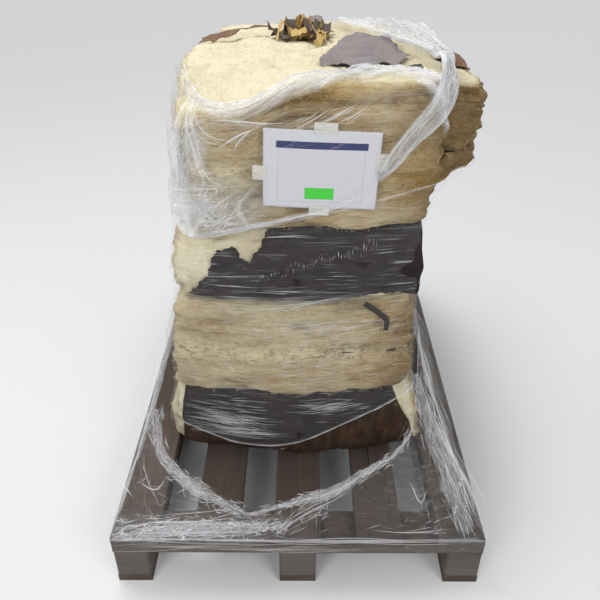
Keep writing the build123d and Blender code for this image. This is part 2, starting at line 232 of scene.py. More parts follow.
# Shader maths
class Socket:
    """A node's output that reads as a number in plain sums and products."""

    def __init__(self, tree, output):
        self.tree = tree
        self.output = output

    def maths(self, operation, *others):
        node = self.tree.nodes.new("ShaderNodeMath")
        node.operation = operation
        for socket, value in zip(node.inputs, (self, *others)):
            if isinstance(value, Socket):
                self.tree.links.new(value.output, socket)
            else:
                socket.default_value = value
        return Socket(self.tree, node.outputs[0])

    def __add__(self, other):
        return self.maths("ADD", other)

    __radd__ = __add__

    def __mul__(self, other):
        return self.maths("MULTIPLY", other)

    __rmul__ = __mul__

    def __sub__(self, other):
        return self.maths("SUBTRACT", other)

    def __rsub__(self, other):
        return (self * -1) + other

    def clamped(self):
        """The value held between 0 and 1."""
        return self.maths("MAXIMUM", 0.0).maths("MINIMUM", 1.0)

    def step(self, low, high):
        """0 below low, 1 above high and smooth between."""
        node = self.tree.nodes.new("ShaderNodeMapRange")
        node.interpolation_type = "SMOOTHSTEP"
        node.inputs["From Min"].default_value = low
        node.inputs["From Max"].default_value = high
        self.tree.links.new(self.output, node.inputs["Value"])
        return Socket(self.tree, node.outputs["Result"])


class Finish:
    """A material under construction, with one method for every node other than maths."""

    def __init__(self, name, **constants):
        self.material = bpy.data.materials.new(name)
        self.material.use_nodes = True
        self.tree = self.material.node_tree
        self.shader = self.tree.nodes["Principled BSDF"]
        self.set(self.shader, constants)

    def set(self, node, values):
        for key, value in values.items():
            socket = node.inputs[key]
            if isinstance(value, Socket):
                self.tree.links.new(value.output, socket)
            else:
                socket.default_value = value

    def node(self, kind, settings=None, inputs=None, output=0):
        """Adds a node, sets it up, feeds its sockets and gives one of its outputs."""
        node = self.tree.nodes.new(kind)
        for key, value in (settings or {}).items():
            if key == "stops":
                ramp = node.color_ramp
                while len(ramp.elements) < len(value):
                    ramp.elements.new(0.5)
                for element, (position, colour) in zip(ramp.elements, value):
                    element.position = position
                    element.color = (*colour, 1)
            else:
                setattr(node, key, value)
        self.set(node, inputs or {})
        return Socket(self.tree, node.outputs[output])

    def place(self, attribute=None):
        """Where a point is: its own attribute, or its place on the object."""
        if attribute:
            return self.node("ShaderNodeAttribute", {"attribute_name": attribute}, output="Vector")
        return self.node("ShaderNodeTexCoord", output="Object")

    def level(self, attribute):
        """A number that the mesh carries at each point."""
        return self.node("ShaderNodeAttribute", {"attribute_name": attribute}, output="Fac")

    def stretch(self, vector, scale):
        return self.node("ShaderNodeVectorMath", {"operation": "MULTIPLY"}, {0: vector, 1: scale})

    def noise(self, vector, scale, detail=4.0, roughness=0.55, distortion=0.0):
        """Fractal noise about 0.5, with its own scale along each axis."""
        inputs = {"Vector": self.stretch(vector, scale), "Scale": 1.0, "Detail": detail}
        inputs |= {"Roughness": roughness, "Distortion": distortion}
        return self.node("ShaderNodeTexNoise", {}, inputs)

    def cells(self, vector, scale):
        """How far a point is from the nearest edge in a pattern of cells."""
        inputs = {"Vector": self.stretch(vector, scale), "Scale": 1.0}
        return self.node("ShaderNodeTexVoronoi", {"feature": "DISTANCE_TO_EDGE"}, inputs)

    def mix(self, share, first, second):
        """Blends two colours."""
        node = self.tree.nodes.new("ShaderNodeMix")
        node.data_type = "RGBA"
        for index, value in ((0, share), (6, first), (7, second)):
            if isinstance(value, Socket):
                self.tree.links.new(value.output, node.inputs[index])
            else:
                node.inputs[index].default_value = (*value, 1) if index else value
        return Socket(self.tree, node.outputs[2])

    def bump(self, height, distance, strength=1.0):
        return self.node("ShaderNodeBump", {}, {"Height": height, "Distance": distance, "Strength": strength})

    def finish(self, **values):
        self.set(self.shader, {key.replace("_", " "): value for key, value in values.items()})
        return self.material


# The wool surface: one closed grid for each batt, from one cut side across to the other
def batt_outline(thickness, depth, seam, spacing, sag):
    """The side view of a folded batt and its fold line, with the fold at depth 0 and the seam at height 0."""
    bend = FOLD_SHARE * thickness
    low, high = -seam, thickness - seam
    corners = [
        (depth - CUT_RADIUS, low + CUT_RADIUS, CUT_RADIUS, -90),
        (depth - CUT_RADIUS, high - CUT_RADIUS, CUT_RADIUS, 0),
        (bend, high - bend, bend, 90),
        (sag, low + sag, sag, 180),
    ]
    line = []
    for y, z, radius, start in corners:
        for angle in np.radians(np.linspace(start, start + 90, 12)):
            line.append((y + radius * math.cos(angle), z + radius * math.sin(angle)))
    line.append(line[0])
    count = int(sum(math.dist(a, b) for a, b in zip(line, line[1:])) / spacing)
    outline = resample(line, count + 1)[:-1]
    core = np.stack([np.clip(outline[:, 0], bend, depth - 0.02), np.zeros(count)], axis=1)
    return outline, core


# Each batt's reach to the left and right by height, and by depth where the top batt spreads
SIDE_REACH = (
    (((0.15, 0.303), (0.25, 0.300), (0.33, 0.284)), ((0.15, 0.300), (0.24, 0.285), (0.33, 0.262))),
    (((0.33, 0.282), (0.45, 0.270), (0.57, 0.262)), ((0.33, 0.246), (0.45, 0.250), (0.57, 0.247))),
    (((0.57, 0.260), (0.66, 0.255), (0.75, 0.244)), ((0.57, 0.244), (0.66, 0.246), (0.75, 0.243))),
    (((0.75, 0.236), (0.90, 0.230)), ((0.75, 0.246), (0.88, 0.252))),
)
SPREAD_LEFT = ((-0.335, 0.222), (-0.235, 0.228), (0.065, 0.248), (0.4, 0.214), (0.54, 0.210))
SPREAD_RIGHT = ((-0.345, 0.262), (-0.325, 0.300), (-0.275, 0.343), (-0.145, 0.380), (0.085, 0.370),
                (0.25, 0.320), (0.4, 0.246))


def side_reach(index, y, z):
    """How far one batt reaches to the left and right at a depth and height."""
    left, right = (lookup(z, table) for table in SIDE_REACH[index])
    if index == 3:
        upper = smooth_step(0.875, 0.915, z + 0.06 * smooth_step(-0.1, -0.3, y))
        left = left + upper * (lookup(y, SPREAD_LEFT) - left)
        right = right + upper * (lookup(y, SPREAD_RIGHT) - right)
    return left, right


@lru_cache(maxsize=None)
def wool_surface(index, spacing):
    """One batt's surface: its points, its place in the wool and the marks of cut, seam, age and hollows."""
    low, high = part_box(f"batt_{index + 1}")
    thickness = high[2] - low[2]
    depth = STACK_REAR - STACK_FRONT
    seam = SEAM_SHARE[index] * thickness
    outline, core = batt_outline(thickness, depth, seam, spacing, SAG_RADIUS[index])
    half = thickness / 2
    width = 0.25
    ring = 1 - SIDE_RADIUS / half
    cap = [(-width, share) for share in np.arange(0, ring, spacing / half)]
    corner = [
        (-width + SIDE_RADIUS * (1 - math.sin(angle)), 1 - SIDE_RADIUS / half * (1 - math.cos(angle)))
        for angle in np.radians((80, 55, 30, 0))
    ]
    body = [(x, 1.0) for x in np.arange(-width + SIDE_RADIUS + spacing, width - SIDE_RADIUS, spacing)]
    sections = cap + corner + body + [(-x, share) for x, share in reversed(cap + corner)]
    across = np.array([x for x, share in sections])[:, None] / width
    share = np.array([share for x, share in sections])[:, None]

    local_y = core[None, :, 0] + share * (outline - core)[None, :, 0]
    local_z = core[None, :, 1] + share * (outline - core)[None, :, 1]
    y = STACK_FRONT + local_y if FOLD_AT_FRONT[index] else STACK_REAR - local_y
    z = low[2] + seam + local_z
    left, right = side_reach(index, y, z)
    x = (right - left) / 2 + across * (right + left) / 2
    front = smooth_step(0.1, STACK_FRONT, y)
    y = y + front * FRONT_BOW * ((x - (right - left) / 2) / BOW_HALF_WIDTH) ** 2
    rise = (z - low[2]) / thickness
    if index == 3:
        z = z - TOP_FALL * rise * (y - STACK_FRONT) / depth
        pressed = smooth_step(0.02, -0.14, x) * smooth_step(-0.16, -0.33, y)
        z = z - 0.050 * pressed * rise
        z = z - 0.035 * rise * smooth_step(0.24, 0.40, x)
    points = np.stack([x, y, z], axis=-1)

    run = np.arange(outline.shape[0]) * spacing
    through = np.hypot(local_y - core[None, :, 0], local_z)
    space = np.stack([x, np.broadcast_to(run, x.shape), through + 0.5 * index], axis=-1)
    normals = grid_normals(points, True)
    middle = points.mean(axis=(0, 1))
    if np.mean(np.sum(normals * (points - middle), axis=-1)) < 0:
        normals = -normals
    open_end = smooth_step(depth - 0.035, depth - 0.012, local_y)
    cut = np.clip(smooth_step(0.4, 0.9, np.abs(normals[..., 0])) + open_end, 0, 1)
    if index == 3:
        cut = np.maximum(cut, smooth_step(0.23, 0.27, x) * smooth_step(0.75, 0.45, np.abs(normals[..., 2])))
        cut_boost = 1 + 1.2 * smooth_step(0.22, 0.33, x) * smooth_step(0.84, 0.90, z)
    else:
        cut_boost = 1.0
    fitted = 1 - 0.35 * front
    age = AGE[index] * lookup(x, AGE_ACROSS[index])
    if index == 3:
        age = age * (1 - 0.75 * smooth_step(-0.06, -0.14, x) * smooth_step(0.89, 0.84, z))
    height = 0.010 * swing(space, (9, 9, 9), 3) * fitted
    height += 0.006 * swing(space, (24, 24, 40), 7)
    height += 0.003 * swing(space, (70, 70, 110), 11)
    layered = 0.008 * swing(space, (7, 7, 75), 19) + 0.005 * swing(space, (18, 18, 170), 23)
    height += cut * cut_boost * layered * fitted
    crease = smooth_step(0.86, 1.0, ridge(space, (7, 11, 5), 29))
    crease = crease + 0.6 * smooth_step(0.9, 1.0, ridge(space, (15, 19, 5), 37))
    height -= 0.010 * crease * (1 - cut)
    seam_line = through + 0.010 * swing(space, (11, 11, 0), 39)
    height -= 0.017 * cut * np.exp(-((seam_line / 0.008) ** 2))
    if index == 3:
        ragged = smooth_step(0.20, 0.34, x) * cut
        height += 0.009 * ragged * swing(space, (14, 14, 20), 31)
    resting = smooth_step(0.7, 0.95, -normals[..., 2]) * 0.7
    if index < 3:
        resting = smooth_step(0.7, 0.95, np.abs(normals[..., 2])) * 0.7
    points = points + normals * (height * (1 - resting))[..., None]
    # How high or hollow each point stands; from it the wool's colour paints shade in the hollows and
    # highlights on the rises
    recess = np.clip(0.5 + height / 0.028, 0, 1)
    faded = 1 - 0.8 * smooth_step(0.16, 0.24, x) * (index == 3)
    near_seam = cut * np.exp(-((seam_line / 0.028) ** 2)) * faded
    return {
        "points": points, "space": space, "cut": cut, "recess": recess, "normals": normals, "seam": near_seam,
        "share": np.broadcast_to(share, x.shape), "local_y": local_y, "depth": depth, "age": cut * age,
    }


@lru_cache(maxsize=None)
def wool_tree():
    """Every batt's surface as one search tree, for what lies on the wool."""
    points, faces, start = [], [], 0
    for index in range(BATT_COUNT):
        surface = wool_surface(index, bpy.context.scene.batt_sizes.spacing)["points"]
        rows, columns = surface.shape[:2]
        flat, quads = surface.reshape(-1, 3), grid_faces(rows, columns, True)
        a, b, c = (flat[quads[:, corner]] - flat.mean(axis=0) for corner in (0, 1, 2))
        if np.sum(np.cross(a, b) * c) < 0:
            quads = quads[:, ::-1]
        points.append(flat)
        faces.append(quads + start)
        start += rows * columns
    return BVHTree.FromPolygons(np.concatenate(points).tolist(), np.concatenate(faces).tolist())


def wool_top(x, y):
    """The height of the stack's top under a point."""
    down = Vector((0, 0, -1))
    shifts = (0, 0.0013, -0.0011)
    hits = [wool_tree().ray_cast(Vector((x + shift, y + shift / 2, 2)), down)[0] for shift in shifts]
    return max([hit.z for hit in hits if hit], default=DECK_TOP)


def clear_of_wool(points, clearance):
    """Moves each point that is nearer to the wool than clearance, or inside it, straight out of it."""
    shape = points.shape
    moved = points.reshape(-1, 3).copy()
    for place, point in enumerate(moved):
        near, normal, _, _ = wool_tree().find_nearest(Vector(point), 0.08)
        if near is None:
            continue
        beside = (np.array(point) - np.array(near)) @ np.array(normal)
        if beside < clearance:
            moved[place] = np.array(point) + (clearance - beside) * np.array(normal)
    return moved.reshape(shape)


# Settings that a user would change
def colour_setting(name, what, value):
    what = f"Colour of {what}"
    return bpy.props.FloatVectorProperty(name=name, description=what, subtype="COLOR", default=value)


def length_setting(name, what, value, **limits):
    return bpy.props.FloatProperty(name=name, description=what, default=value, unit="LENGTH", **limits)


class BattSizes(bpy.types.PropertyGroup):
    spacing: length_setting("Spacing", "Distance between the wool's points", 0.0075, min=0.004, max=0.03)
    pale: colour_setting("Pale Wool", "clean wool", (0.76, 0.69, 0.495))
    tan: colour_setting("Tan Wool", "aged wool on cut sides", (0.42, 0.268, 0.090))
    fibre_length: length_setting("Fibre Length", "Length of a loose fibre", 0.011)
    fibre_width: length_setting("Fibre Width", "Width of a loose fibre", 0.0005)
    fibre_density: bpy.props.FloatProperty(
        name="Fibre Density", description="Loose fibres on each square metre of open wool", default=7000.0,
    )


class FilmSizes(bpy.types.PropertyGroup):
    haze: bpy.props.FloatProperty(
        name="Haze", description="How much of the plain film shows", default=0.015, min=0.0, max=1.0,
    )
    # The strength of the painted highlights along the stretch lines
    streaks: bpy.props.FloatProperty(
        name="Streaks", description="How strongly the stretch lines show", default=0.85, min=0.0, max=1.0,
    )


class PaperColours(bpy.types.PropertyGroup):
    facing: colour_setting("Facing", "the facing paper", (0.017, 0.0125, 0.0115))
    kraft: colour_setting("Kraft", "the bare brown paper", (0.072, 0.041, 0.023))
    sheet: colour_setting("Sheet", "the taped sheet", (0.60, 0.60, 0.645))
    bar: colour_setting("Bar", "the printed bar on the sheet", (0.035, 0.045, 0.13))
    sticker: colour_setting("Sticker", "the sticker", (0.06, 0.62, 0.05))


class WoodColours(bpy.types.PropertyGroup):
    light: colour_setting("Light Wood", "worn wood", (0.118, 0.081, 0.061))
    dark: colour_setting("Dark Wood", "weathered wood", (0.030, 0.022, 0.018))


class StageSizes(bpy.types.PropertyGroup):
    lens: bpy.props.FloatProperty(name="Lens", description="Camera lens in millimetres", default=39.0)
    pitch: bpy.props.FloatProperty(
        name="Pitch", description="Angle of the camera below level", default=math.radians(32.74),
        subtype="ANGLE",
    )


# Stage
def camera_share(tree):
    """1 for what the camera sees, itself or in a reflection, and 0 for the light that falls on the load."""
    rays = tree.nodes.new("ShaderNodeLightPath")
    kinds = [Socket(tree, rays.outputs[f"Is {kind} Ray"]) for kind in ("Camera", "Glossy", "Transmission")]
    return (kinds[0] + kinds[1] + kinds[2]).clamped()


def stage_material(name, colour):
    """Plain and pale; outside the load's shadow half of what the camera sees is its own light."""
    finish = Finish(name, Roughness=0.9)
    finish.shader.inputs["Emission Strength"].default_value = 1.0
    spread = finish.stretch(finish.place(), (1, 0.66, 1))
    away = finish.node("ShaderNodeVectorMath", {"operation": "LENGTH"}, {0: spread}, "Value")
    seen = camera_share(finish.tree) * away.step(0.38, 0.75)
    half = tuple(value / 2 for value in colour)
    return finish.finish(
        Base_Color=finish.mix(seen, colour, half), Emission_Color=finish.mix(seen, (0.0, 0.0, 0.0), half),
    )


class LOAD_OT_stage(bpy.types.Operator):
    """Adds the pale floor, the soft studio lamps, the world light and the camera"""

    bl_idname = "load.stage"
    bl_label = "Set Stage"

    def execute(self, context):
        scene = context.scene
        floor_mesh = make_mesh(
            "floor", [(-9, -9, 0), (9, -9, 0), (9, 9, 0), (-9, 9, 0)], [(0, 1, 2, 3)]
        )
        floor = bpy.data.objects.new("floor", floor_mesh)
        floor_mesh.materials.append(stage_material("Pale Floor", (0.84, 0.85, 0.86)))
        scene.collection.objects.link(floor)

        world = bpy.data.worlds.new("Studio World")
        scene.world = world
        world.use_nodes = True
        tree = world.node_tree
        background = tree.nodes["Background"]
        background.inputs["Color"].default_value = (1, 1, 1, 1)
        tree.links.new((camera_share(tree) * 0.55 + 0.42).output, background.inputs["Strength"])

        lamps = {
            "key": ((-0.9, 0.4, 3.0), (0, 0, 0.7), (1.5, 1.5), 44),
            "fill": ((1.6, -2.4, 2.2), (0, 0, 0.5), (1.4, 1.4), 26),
            "front": ((-1.2, -2.4, 2.0), (0, 0, 0.5), (1.0, 1.0), 20),
        }
        for name, (place, target, size, power) in lamps.items():
            lamp = bpy.data.lights.new(f"{name}_lamp", "AREA")
            lamp.shape = "RECTANGLE"
            lamp.size, lamp.size_y = size
            lamp.energy = power
            holder = bpy.data.objects.new(f"{name}_lamp", lamp)
            holder.location = place
            holder.rotation_euler = (Vector(target) - Vector(place)).to_track_quat("-Z", "Y").to_euler()
            scene.collection.objects.link(holder)

        lens = bpy.data.cameras.new("camera")
        lens.lens = scene.stage_sizes.lens
        lens.sensor_width = 36
        lens.dof.use_dof = False
        camera = bpy.data.objects.new("camera", lens)
        camera.location = (0.010, -1.486, 1.319)
        camera.rotation_euler = (math.pi / 2 - scene.stage_sizes.pitch, 0, math.radians(0.3))
        scene.collection.objects.link(camera)
        scene.camera = camera
        scene.view_settings.view_transform = "Standard"
        return {"FINISHED"}


# Pallet wood
def wood_finish(name, along, shade=(1, 1, 1)):
    """Rough weathered wood with its grain along one axis, worn lighter in patches."""
    colours = bpy.context.scene.wood_colours
    dark, light = (
        [value * part for value, part in zip(colour, shade)] for colour in (colours.dark, colours.light)
    )
    finish = Finish(name, Roughness=0.85)
    place = finish.place()

    def grained(lengthwise, across, up, *settings):
        scale = (lengthwise, across, up) if along == "X" else (across, lengthwise, up)
        return finish.noise(place, scale, *settings)

    grain = grained(6, 210, 210, 5.0, 0.62, 0.25)
    bands = grained(1.2, 26, 26, 4.0, 0.55, 0.5)
    wear = finish.noise(place, (5, 5, 5), 5.0, 0.6)
    across = finish.node("ShaderNodeSeparateXYZ", {}, {0: place}, 0 if along == "Y" else 1)
    board = finish.node(
        "ShaderNodeTexWhiteNoise", {"noise_dimensions": "1D"}, {"W": across.maths("SNAP", 0.08)}, "Value",
    )
    tone = (bands * 0.75 + grain * 0.55 + wear * 0.35 + board * 0.22 - 0.52).clamped()
    colour = finish.mix(tone, dark, light)
    stain = finish.noise(place, (3.1, 2.3, 4.0), 6.0, 0.68).step(0.56, 0.70)
    colour = finish.mix(stain * 0.6, colour, (0.028, 0.022, 0.021))
    scuffs = grained(14, 90, 60, 3.0, 0.7).step(0.66, 0.74)
    colour = finish.mix(scuffs * 0.35, colour, (0.28, 0.22, 0.18))
    crack = grained(2.2, 120, 60, 2.0, 0.5, 0.4).step(0.70, 0.735)
    colour = finish.mix(crack, colour, (0.012, 0.010, 0.010))
    relief = grain * 0.5 + bands * 0.5 - crack * 1.2
    return finish.finish(
        Base_Color=colour, Roughness=(0.92 - wear * 0.2), Normal=finish.bump(relief, 0.0025, 0.9),
    )


class LOAD_OT_pallet(bpy.types.Operator):
    """Gives the pallet's boards and blocks their weathered wood"""

    bl_idname = "load.pallet"
    bl_label = "Weather Pallet"

    def execute(self, context):
        lengthwise = wood_finish("Weathered Wood Lengthwise", "Y")
        crosswise = wood_finish("Weathered Wood Crosswise", "X")
        pressed = wood_finish("Pressed Block Wood", "X", (1.45, 1.75, 2.1))
        finishes = {
            "deck_board": lengthwise, "bottom_board": lengthwise, "cross_board": crosswise, "block": pressed,
        }
        for name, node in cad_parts.items():
            for start, finish in finishes.items():
                if name.startswith(start):
                    node.data.materials.clear()
                    node.data.materials.append(finish)
        return {"FINISHED"}


# Glass wool
def wool_finish():
    """Glass wool: pale where clean, tan and layered on cut sides, with painted shade in its hollows, painted
    highlights on its rises and dark and pale specks along the seam.
    """
    colours = bpy.context.scene.batt_sizes
    finish = Finish("Glass Wool", Roughness=0.95)
    finish.shader.inputs["Sheen Weight"].default_value = 0.05
    finish.shader.inputs["Specular IOR Level"].default_value = 0.2
    space = finish.place("wool_space")
    spread = finish.place()
    recess = finish.level("wool_recess")
    cut = finish.level("wool_cut")
    aged = finish.level("wool_age")
    seam = finish.level("wool_seam")
    patches = finish.noise(spread, (7, 7, 10), 4.0, 0.6)
    layers = finish.noise(space, (9, 9, 130), 4.0, 0.65, 0.8)
    blotches = finish.noise(space, (26, 26, 60), 4.0, 0.65, 0.6)
    fibres = finish.noise(space, (70, 70, 420), 3.0, 0.7, 0.8)
    tufts = finish.noise(spread, (42, 42, 42), 4.0, 0.68)
    age = (aged * (0.34 + patches.step(0.30, 0.70) * 0.38 + blotches.step(0.38, 0.66) * 0.30)
           + patches.step(0.50, 0.75) * 0.16 + tufts * 0.26 - 0.14).clamped()
    colour = finish.mix(age, tuple(colours.pale), tuple(colours.tan))
    lines = layers.step(0.54, 0.70) * aged * 0.42 + fibres.step(0.56, 0.72) * aged * 0.28
    # Painted shade: darker brown where the wool is hollow, mixed with the wool's own dark layer and fibre
    # lines
    brown = (recess.step(0.50, 0.10) * (aged * 0.62 + 0.16) + lines).clamped()
    colour = finish.mix(brown, colour, (0.150, 0.088, 0.032))
    # Painted highlight on the wool's rises and tuft tops, with the paler bands between its layer lines as its
    # own tone
    bright = (recess.step(0.52, 0.85) * 0.30 + (1 - layers.step(0.32, 0.46)) * aged * 0.26
              + tufts.step(0.55, 0.75) * 0.22) * (1.1 - aged * 0.65).clamped()
    colour = finish.mix(bright, colour, (0.80, 0.69, 0.43))
    deep = (aged - 1).clamped()
    colour = finish.mix((deep * 2.2).clamped() * (0.45 + blotches * 0.55), colour, (0.190, 0.115, 0.040))
    # Dark and pale specks along the seam
    seam_specks = finish.noise(spread, (60, 60, 110), 4.0, 0.75).step(0.47, 0.60)
    colour = finish.mix((seam * seam_specks * 0.85).clamped(), colour, (0.115, 0.100, 0.062))
    colour = finish.mix((seam * (1 - seam_specks) * 0.5).clamped(), colour, (0.66, 0.60, 0.41))
    relief = layers * cut * 1.0 + blotches * cut * 0.6 + fibres * 0.5 + tufts * 0.9
    return finish.finish(Base_Color=colour, Normal=finish.bump(relief, 0.008, 1.0))


def fibre_tree(material):
    """A node tree that strews bent loose fibres over a surface, thickest where the surface is open."""
    tree = bpy.data.node_groups.new("Loose Fibres", "GeometryNodeTree")
    face = tree.interface
    inputs = {
        "Geometry": "Geometry", "Density": "Float", "Fibre Length": "Float", "Fibre Width": "Float",
        "Seed": "Int",
    }
    for name, kind in inputs.items():
        face.new_socket(name, in_out="INPUT", socket_type=f"NodeSocket{kind}")
    face.new_socket("Geometry", in_out="OUTPUT", socket_type="NodeSocketGeometry")
    nodes, links = tree.nodes, tree.links
    given = nodes.new("NodeGroupInput")
    result = nodes.new("NodeGroupOutput")

    def add(kind, inputs=None, **settings):
        node = nodes.new(kind)
        for key, value in settings.items():
            setattr(node, key, value)
        for key, value in (inputs or {}).items():
            if isinstance(value, bpy.types.NodeSocket):
                links.new(value, node.inputs[key])
            else:
                node.inputs[key].default_value = value
        return node

    open_share = add("GeometryNodeInputNamedAttribute", {"Name": "wool_open"}, data_type="FLOAT")
    factors = {0: open_share.outputs["Attribute"], 1: given.outputs["Density"]}
    density = add("ShaderNodeMath", factors, operation="MULTIPLY")
    spots = add(
        "GeometryNodeDistributePointsOnFaces",
        {"Mesh": given.outputs["Geometry"], "Density": density.outputs[0], "Seed": given.outputs["Seed"]},
    )
    bend = add("ShaderNodeCombineXYZ", {"X": given.outputs["Fibre Length"], "Z": 0.003})
    half = add("ShaderNodeVectorMath", {0: bend.outputs[0], "Scale": 0.5}, operation="SCALE")
    lift = add("ShaderNodeVectorMath", {0: half.outputs[0], 1: (0, 0.004, 0.006)}, operation="ADD")
    line = add(
        "GeometryNodeCurveQuadraticBezier",
        {"Resolution": 3, "Start": (0, 0, 0), "Middle": lift.outputs[0], "End": bend.outputs[0]},
    )
    ribbon_half = add("ShaderNodeCombineXYZ", {"X": given.outputs["Fibre Width"]})
    ribbon = add("GeometryNodeCurvePrimitiveLine", {"End": ribbon_half.outputs[0]})
    strand = add("GeometryNodeCurveToMesh", {"Curve": line.outputs[0], "Profile Curve": ribbon.outputs[0]})
    spin = add(
        "FunctionNodeRandomValue",
        {"Min": (-0.5, -0.5, 0.0), "Max": (0.5, 0.35, 2 * math.pi), "Seed": 5}, data_type="FLOAT_VECTOR",
    )
    turned = add(
        "FunctionNodeRotateRotation",
        {"Rotation": spots.outputs["Rotation"], "Rotate By": spin.outputs[0]}, rotation_space="LOCAL",
    )
    size = add("FunctionNodeRandomValue", {2: 0.4, 3: 1.5, "Seed": 9}, data_type="FLOAT")
    strewn = add(
        "GeometryNodeInstanceOnPoints",
        {"Points": spots.outputs["Points"], "Instance": strand.outputs[0], "Rotation": turned.outputs[0],
         "Scale": size.outputs[1]},
    )
    real = add("GeometryNodeRealizeInstances", {"Geometry": strewn.outputs[0]})
    coloured = add("GeometryNodeSetMaterial", {"Geometry": real.outputs[0], "Material": material})
    links.new(coloured.outputs[0], result.inputs[0])
    return tree


def strew_fibres(piece, index, tree, material):
    """Turns the fibre tree's result over one batt into a plain mesh piece."""
    sizes = bpy.context.scene.batt_sizes
    holder = bpy.data.objects.new("fibre_holder", piece.data)
    bpy.context.scene.collection.objects.link(holder)
    maker = holder.modifiers.new("Fibres", "NODES")
    maker.node_group = tree
    chosen = {
        "Density": sizes.fibre_density, "Fibre Length": sizes.fibre_length, "Fibre Width": sizes.fibre_width,
        "Seed": index + 3,
    }
    for item in tree.interface.items_tree:
        if item.in_out == "INPUT" and item.name in chosen:
            maker[item.identifier] = chosen[item.name]
    bpy.context.view_layer.update()
    mesh = bpy.data.meshes.new_from_object(holder.evaluated_get(bpy.context.evaluated_depsgraph_get()))
    bpy.data.objects.remove(holder)
    mesh.name = f"fibres_{index + 1}"
    mesh.materials.clear()
    make_piece(mesh, material)


class LOAD_OT_batts(bpy.types.Operator):
    """Builds the four folded batts of glass wool and strews loose fibres over them"""

    bl_idname = "load.batts"
    bl_label = "Build Batts"

    def execute(self, context):
        sizes = context.scene.batt_sizes
        wool = wool_finish()
        loose = Finish("Loose Fibres", Roughness=0.8)
        tone = loose.noise(loose.place(), (60, 60, 60), 2.0)
        loose.finish(Base_Color=loose.mix(tone, (0.70, 0.58, 0.32), (0.42, 0.30, 0.13)))
        tree = fibre_tree(loose.material)
        for index in range(BATT_COUNT):
            surface = wool_surface(index, sizes.spacing)
            rows, columns = surface["points"].shape[:2]
            opened = np.clip(surface["cut"] * 1.2 - 0.2, 0, 1)
            if index == BATT_COUNT - 1:
                opened = np.where(surface["normals"][..., 2] > 0.6, 0.25, opened)
                opened = opened * (1 - 0.7 * smooth_step(0.16, 0.24, surface["points"][..., 0]))
            marks = {f"wool_{key}": surface[key] for key in ("space", "recess", "seam", "cut", "age")}
            marks["wool_open"] = opened
            faces = grid_faces(rows, columns, True)
            mesh = make_mesh(f"wool_{index + 1}", surface["points"], faces, marks)
            piece = make_piece(mesh, wool, [f"batt_{index + 1}"], weld=True, outward=True)
            strew_fibres(piece, index, tree, loose.material)
        return {"FINISHED"}


# Facing paper
def facing_finish():
    """Dark coated paper, creased, brown where it is bare of film."""
    colours = bpy.context.scene.paper_colours
    finish = Finish("Facing Paper", Roughness=0.6)
    finish.shader.inputs["Specular IOR Level"].default_value = 0.15
    place = finish.place()
    bare = finish.level("paper_bare")
    mottle = finish.noise(place, (16, 16, 30), 5.0, 0.65)
    rub = finish.noise(place, (30, 30, 120), 4.0, 0.7)
    upright = finish.noise(place, (80, 20, 16), 5.0, 0.7)
    colour = finish.mix(mottle.step(0.35, 0.75), tuple(colours.facing), (0.028, 0.020, 0.0175))
    brown = finish.mix(upright.step(0.40, 0.66), (0.034, 0.021, 0.014), tuple(colours.kraft))
    colour = finish.mix(bare, colour, brown)
    colour = finish.mix(rub.step(0.60, 0.78) * 0.18, colour, (0.13, 0.095, 0.075))
    flat_creases = finish.noise(place, (14, 30, 130), 3.0, 0.6, 0.6)
    relief = flat_creases * (1 - bare) * 0.9 + upright * bare * 0.6 + mottle * 0.3
    return finish.finish(
        Base_Color=colour, Roughness=(0.5 + mottle * 0.3), Normal=finish.bump(relief, 0.0025, 0.8),
    )


# The torn and cut edges of the papers, as x and height on the front
TORN_TOP = ((-0.260, 0.545), (-0.240, 0.565), (-0.204, 0.619), (-0.182, 0.650), (-0.173, 0.700),
            (-0.130, 0.710), (-0.112, 0.690), (-0.099, 0.678), (-0.080, 0.715), (-0.063, 0.745),
            (-0.055, 0.800))
TORN_FOOT = ((-0.30, 0.50), (0.075, 0.50), (0.090, 0.590), (0.150, 0.606), (0.190, 0.606), (0.240, 0.594),
             (0.27, 0.590))
TEAR_START = 30
TEAR_DEPTH = -0.18

# The tight film's lower edge
FILM_FOOT = rounded_line((
    (-0.30, 0.243), (-0.23, 0.205), (-0.139, 0.180), (-0.02, 0.190), (0.12, 0.258), (0.244, 0.312),
    (0.30, 0.332),
)).tolist()


def facing_net(index, spacing, step):
    """The paper wrapped over the fold of one batt, as its columns along x and its places round the fold."""
    surface = wool_surface(index, spacing)
    points, local_y = surface["points"], surface["local_y"]
    rows = [row for row in range(points.shape[0]) if surface["share"][row, 0] > 0.93]
    body = points[rows]
    places = np.where(local_y[rows[len(rows) // 2]] <= surface["depth"] - CUT_RADIUS)[0]
    gap = np.where(np.diff(places) > 1)[0]
    if len(gap):
        places = np.concatenate([places[gap[0] + 1:], places[:gap[0] + 1]])
    body = body[:, places]
    for _ in range(3):
        body[1:-1] = (body[:-2] + body[2:] + body[1:-1] * 2) / 4
        body[:, 1:-1] = (body[:, :-2] + body[:, 2:] + body[:, 1:-1] * 2) / 4
    low, high = (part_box(f"facing_{index + 1}")[side][0] for side in (0, 1))
    low, high = low - 0.004, high + (0.004 if index == 0 else 0.018)
    middle = body[:, body.shape[1] // 2, 0]
    keep = np.where((middle > low) & (middle < high))[0]
    body = body[keep[0]:keep[-1] + 1]
    count = int((high - low) / step)
    wanted = np.linspace(0, body.shape[0] - 1, count)
    lower = np.minimum(wanted.astype(int), body.shape[0] - 2)
    part = (wanted - lower)[:, None, None]
    body = body[lower] * (1 - part) + body[lower + 1] * part
    if body[count // 2, 0, 2] > body[count // 2, -1, 2]:
        body = body[:, ::-1]
    outward = grid_normals(body, False)
    fold = int(np.argmin(body[count // 2, :, 1]))
    if outward[count // 2, fold, 1] > 0:
        outward = -outward
    return body, outward


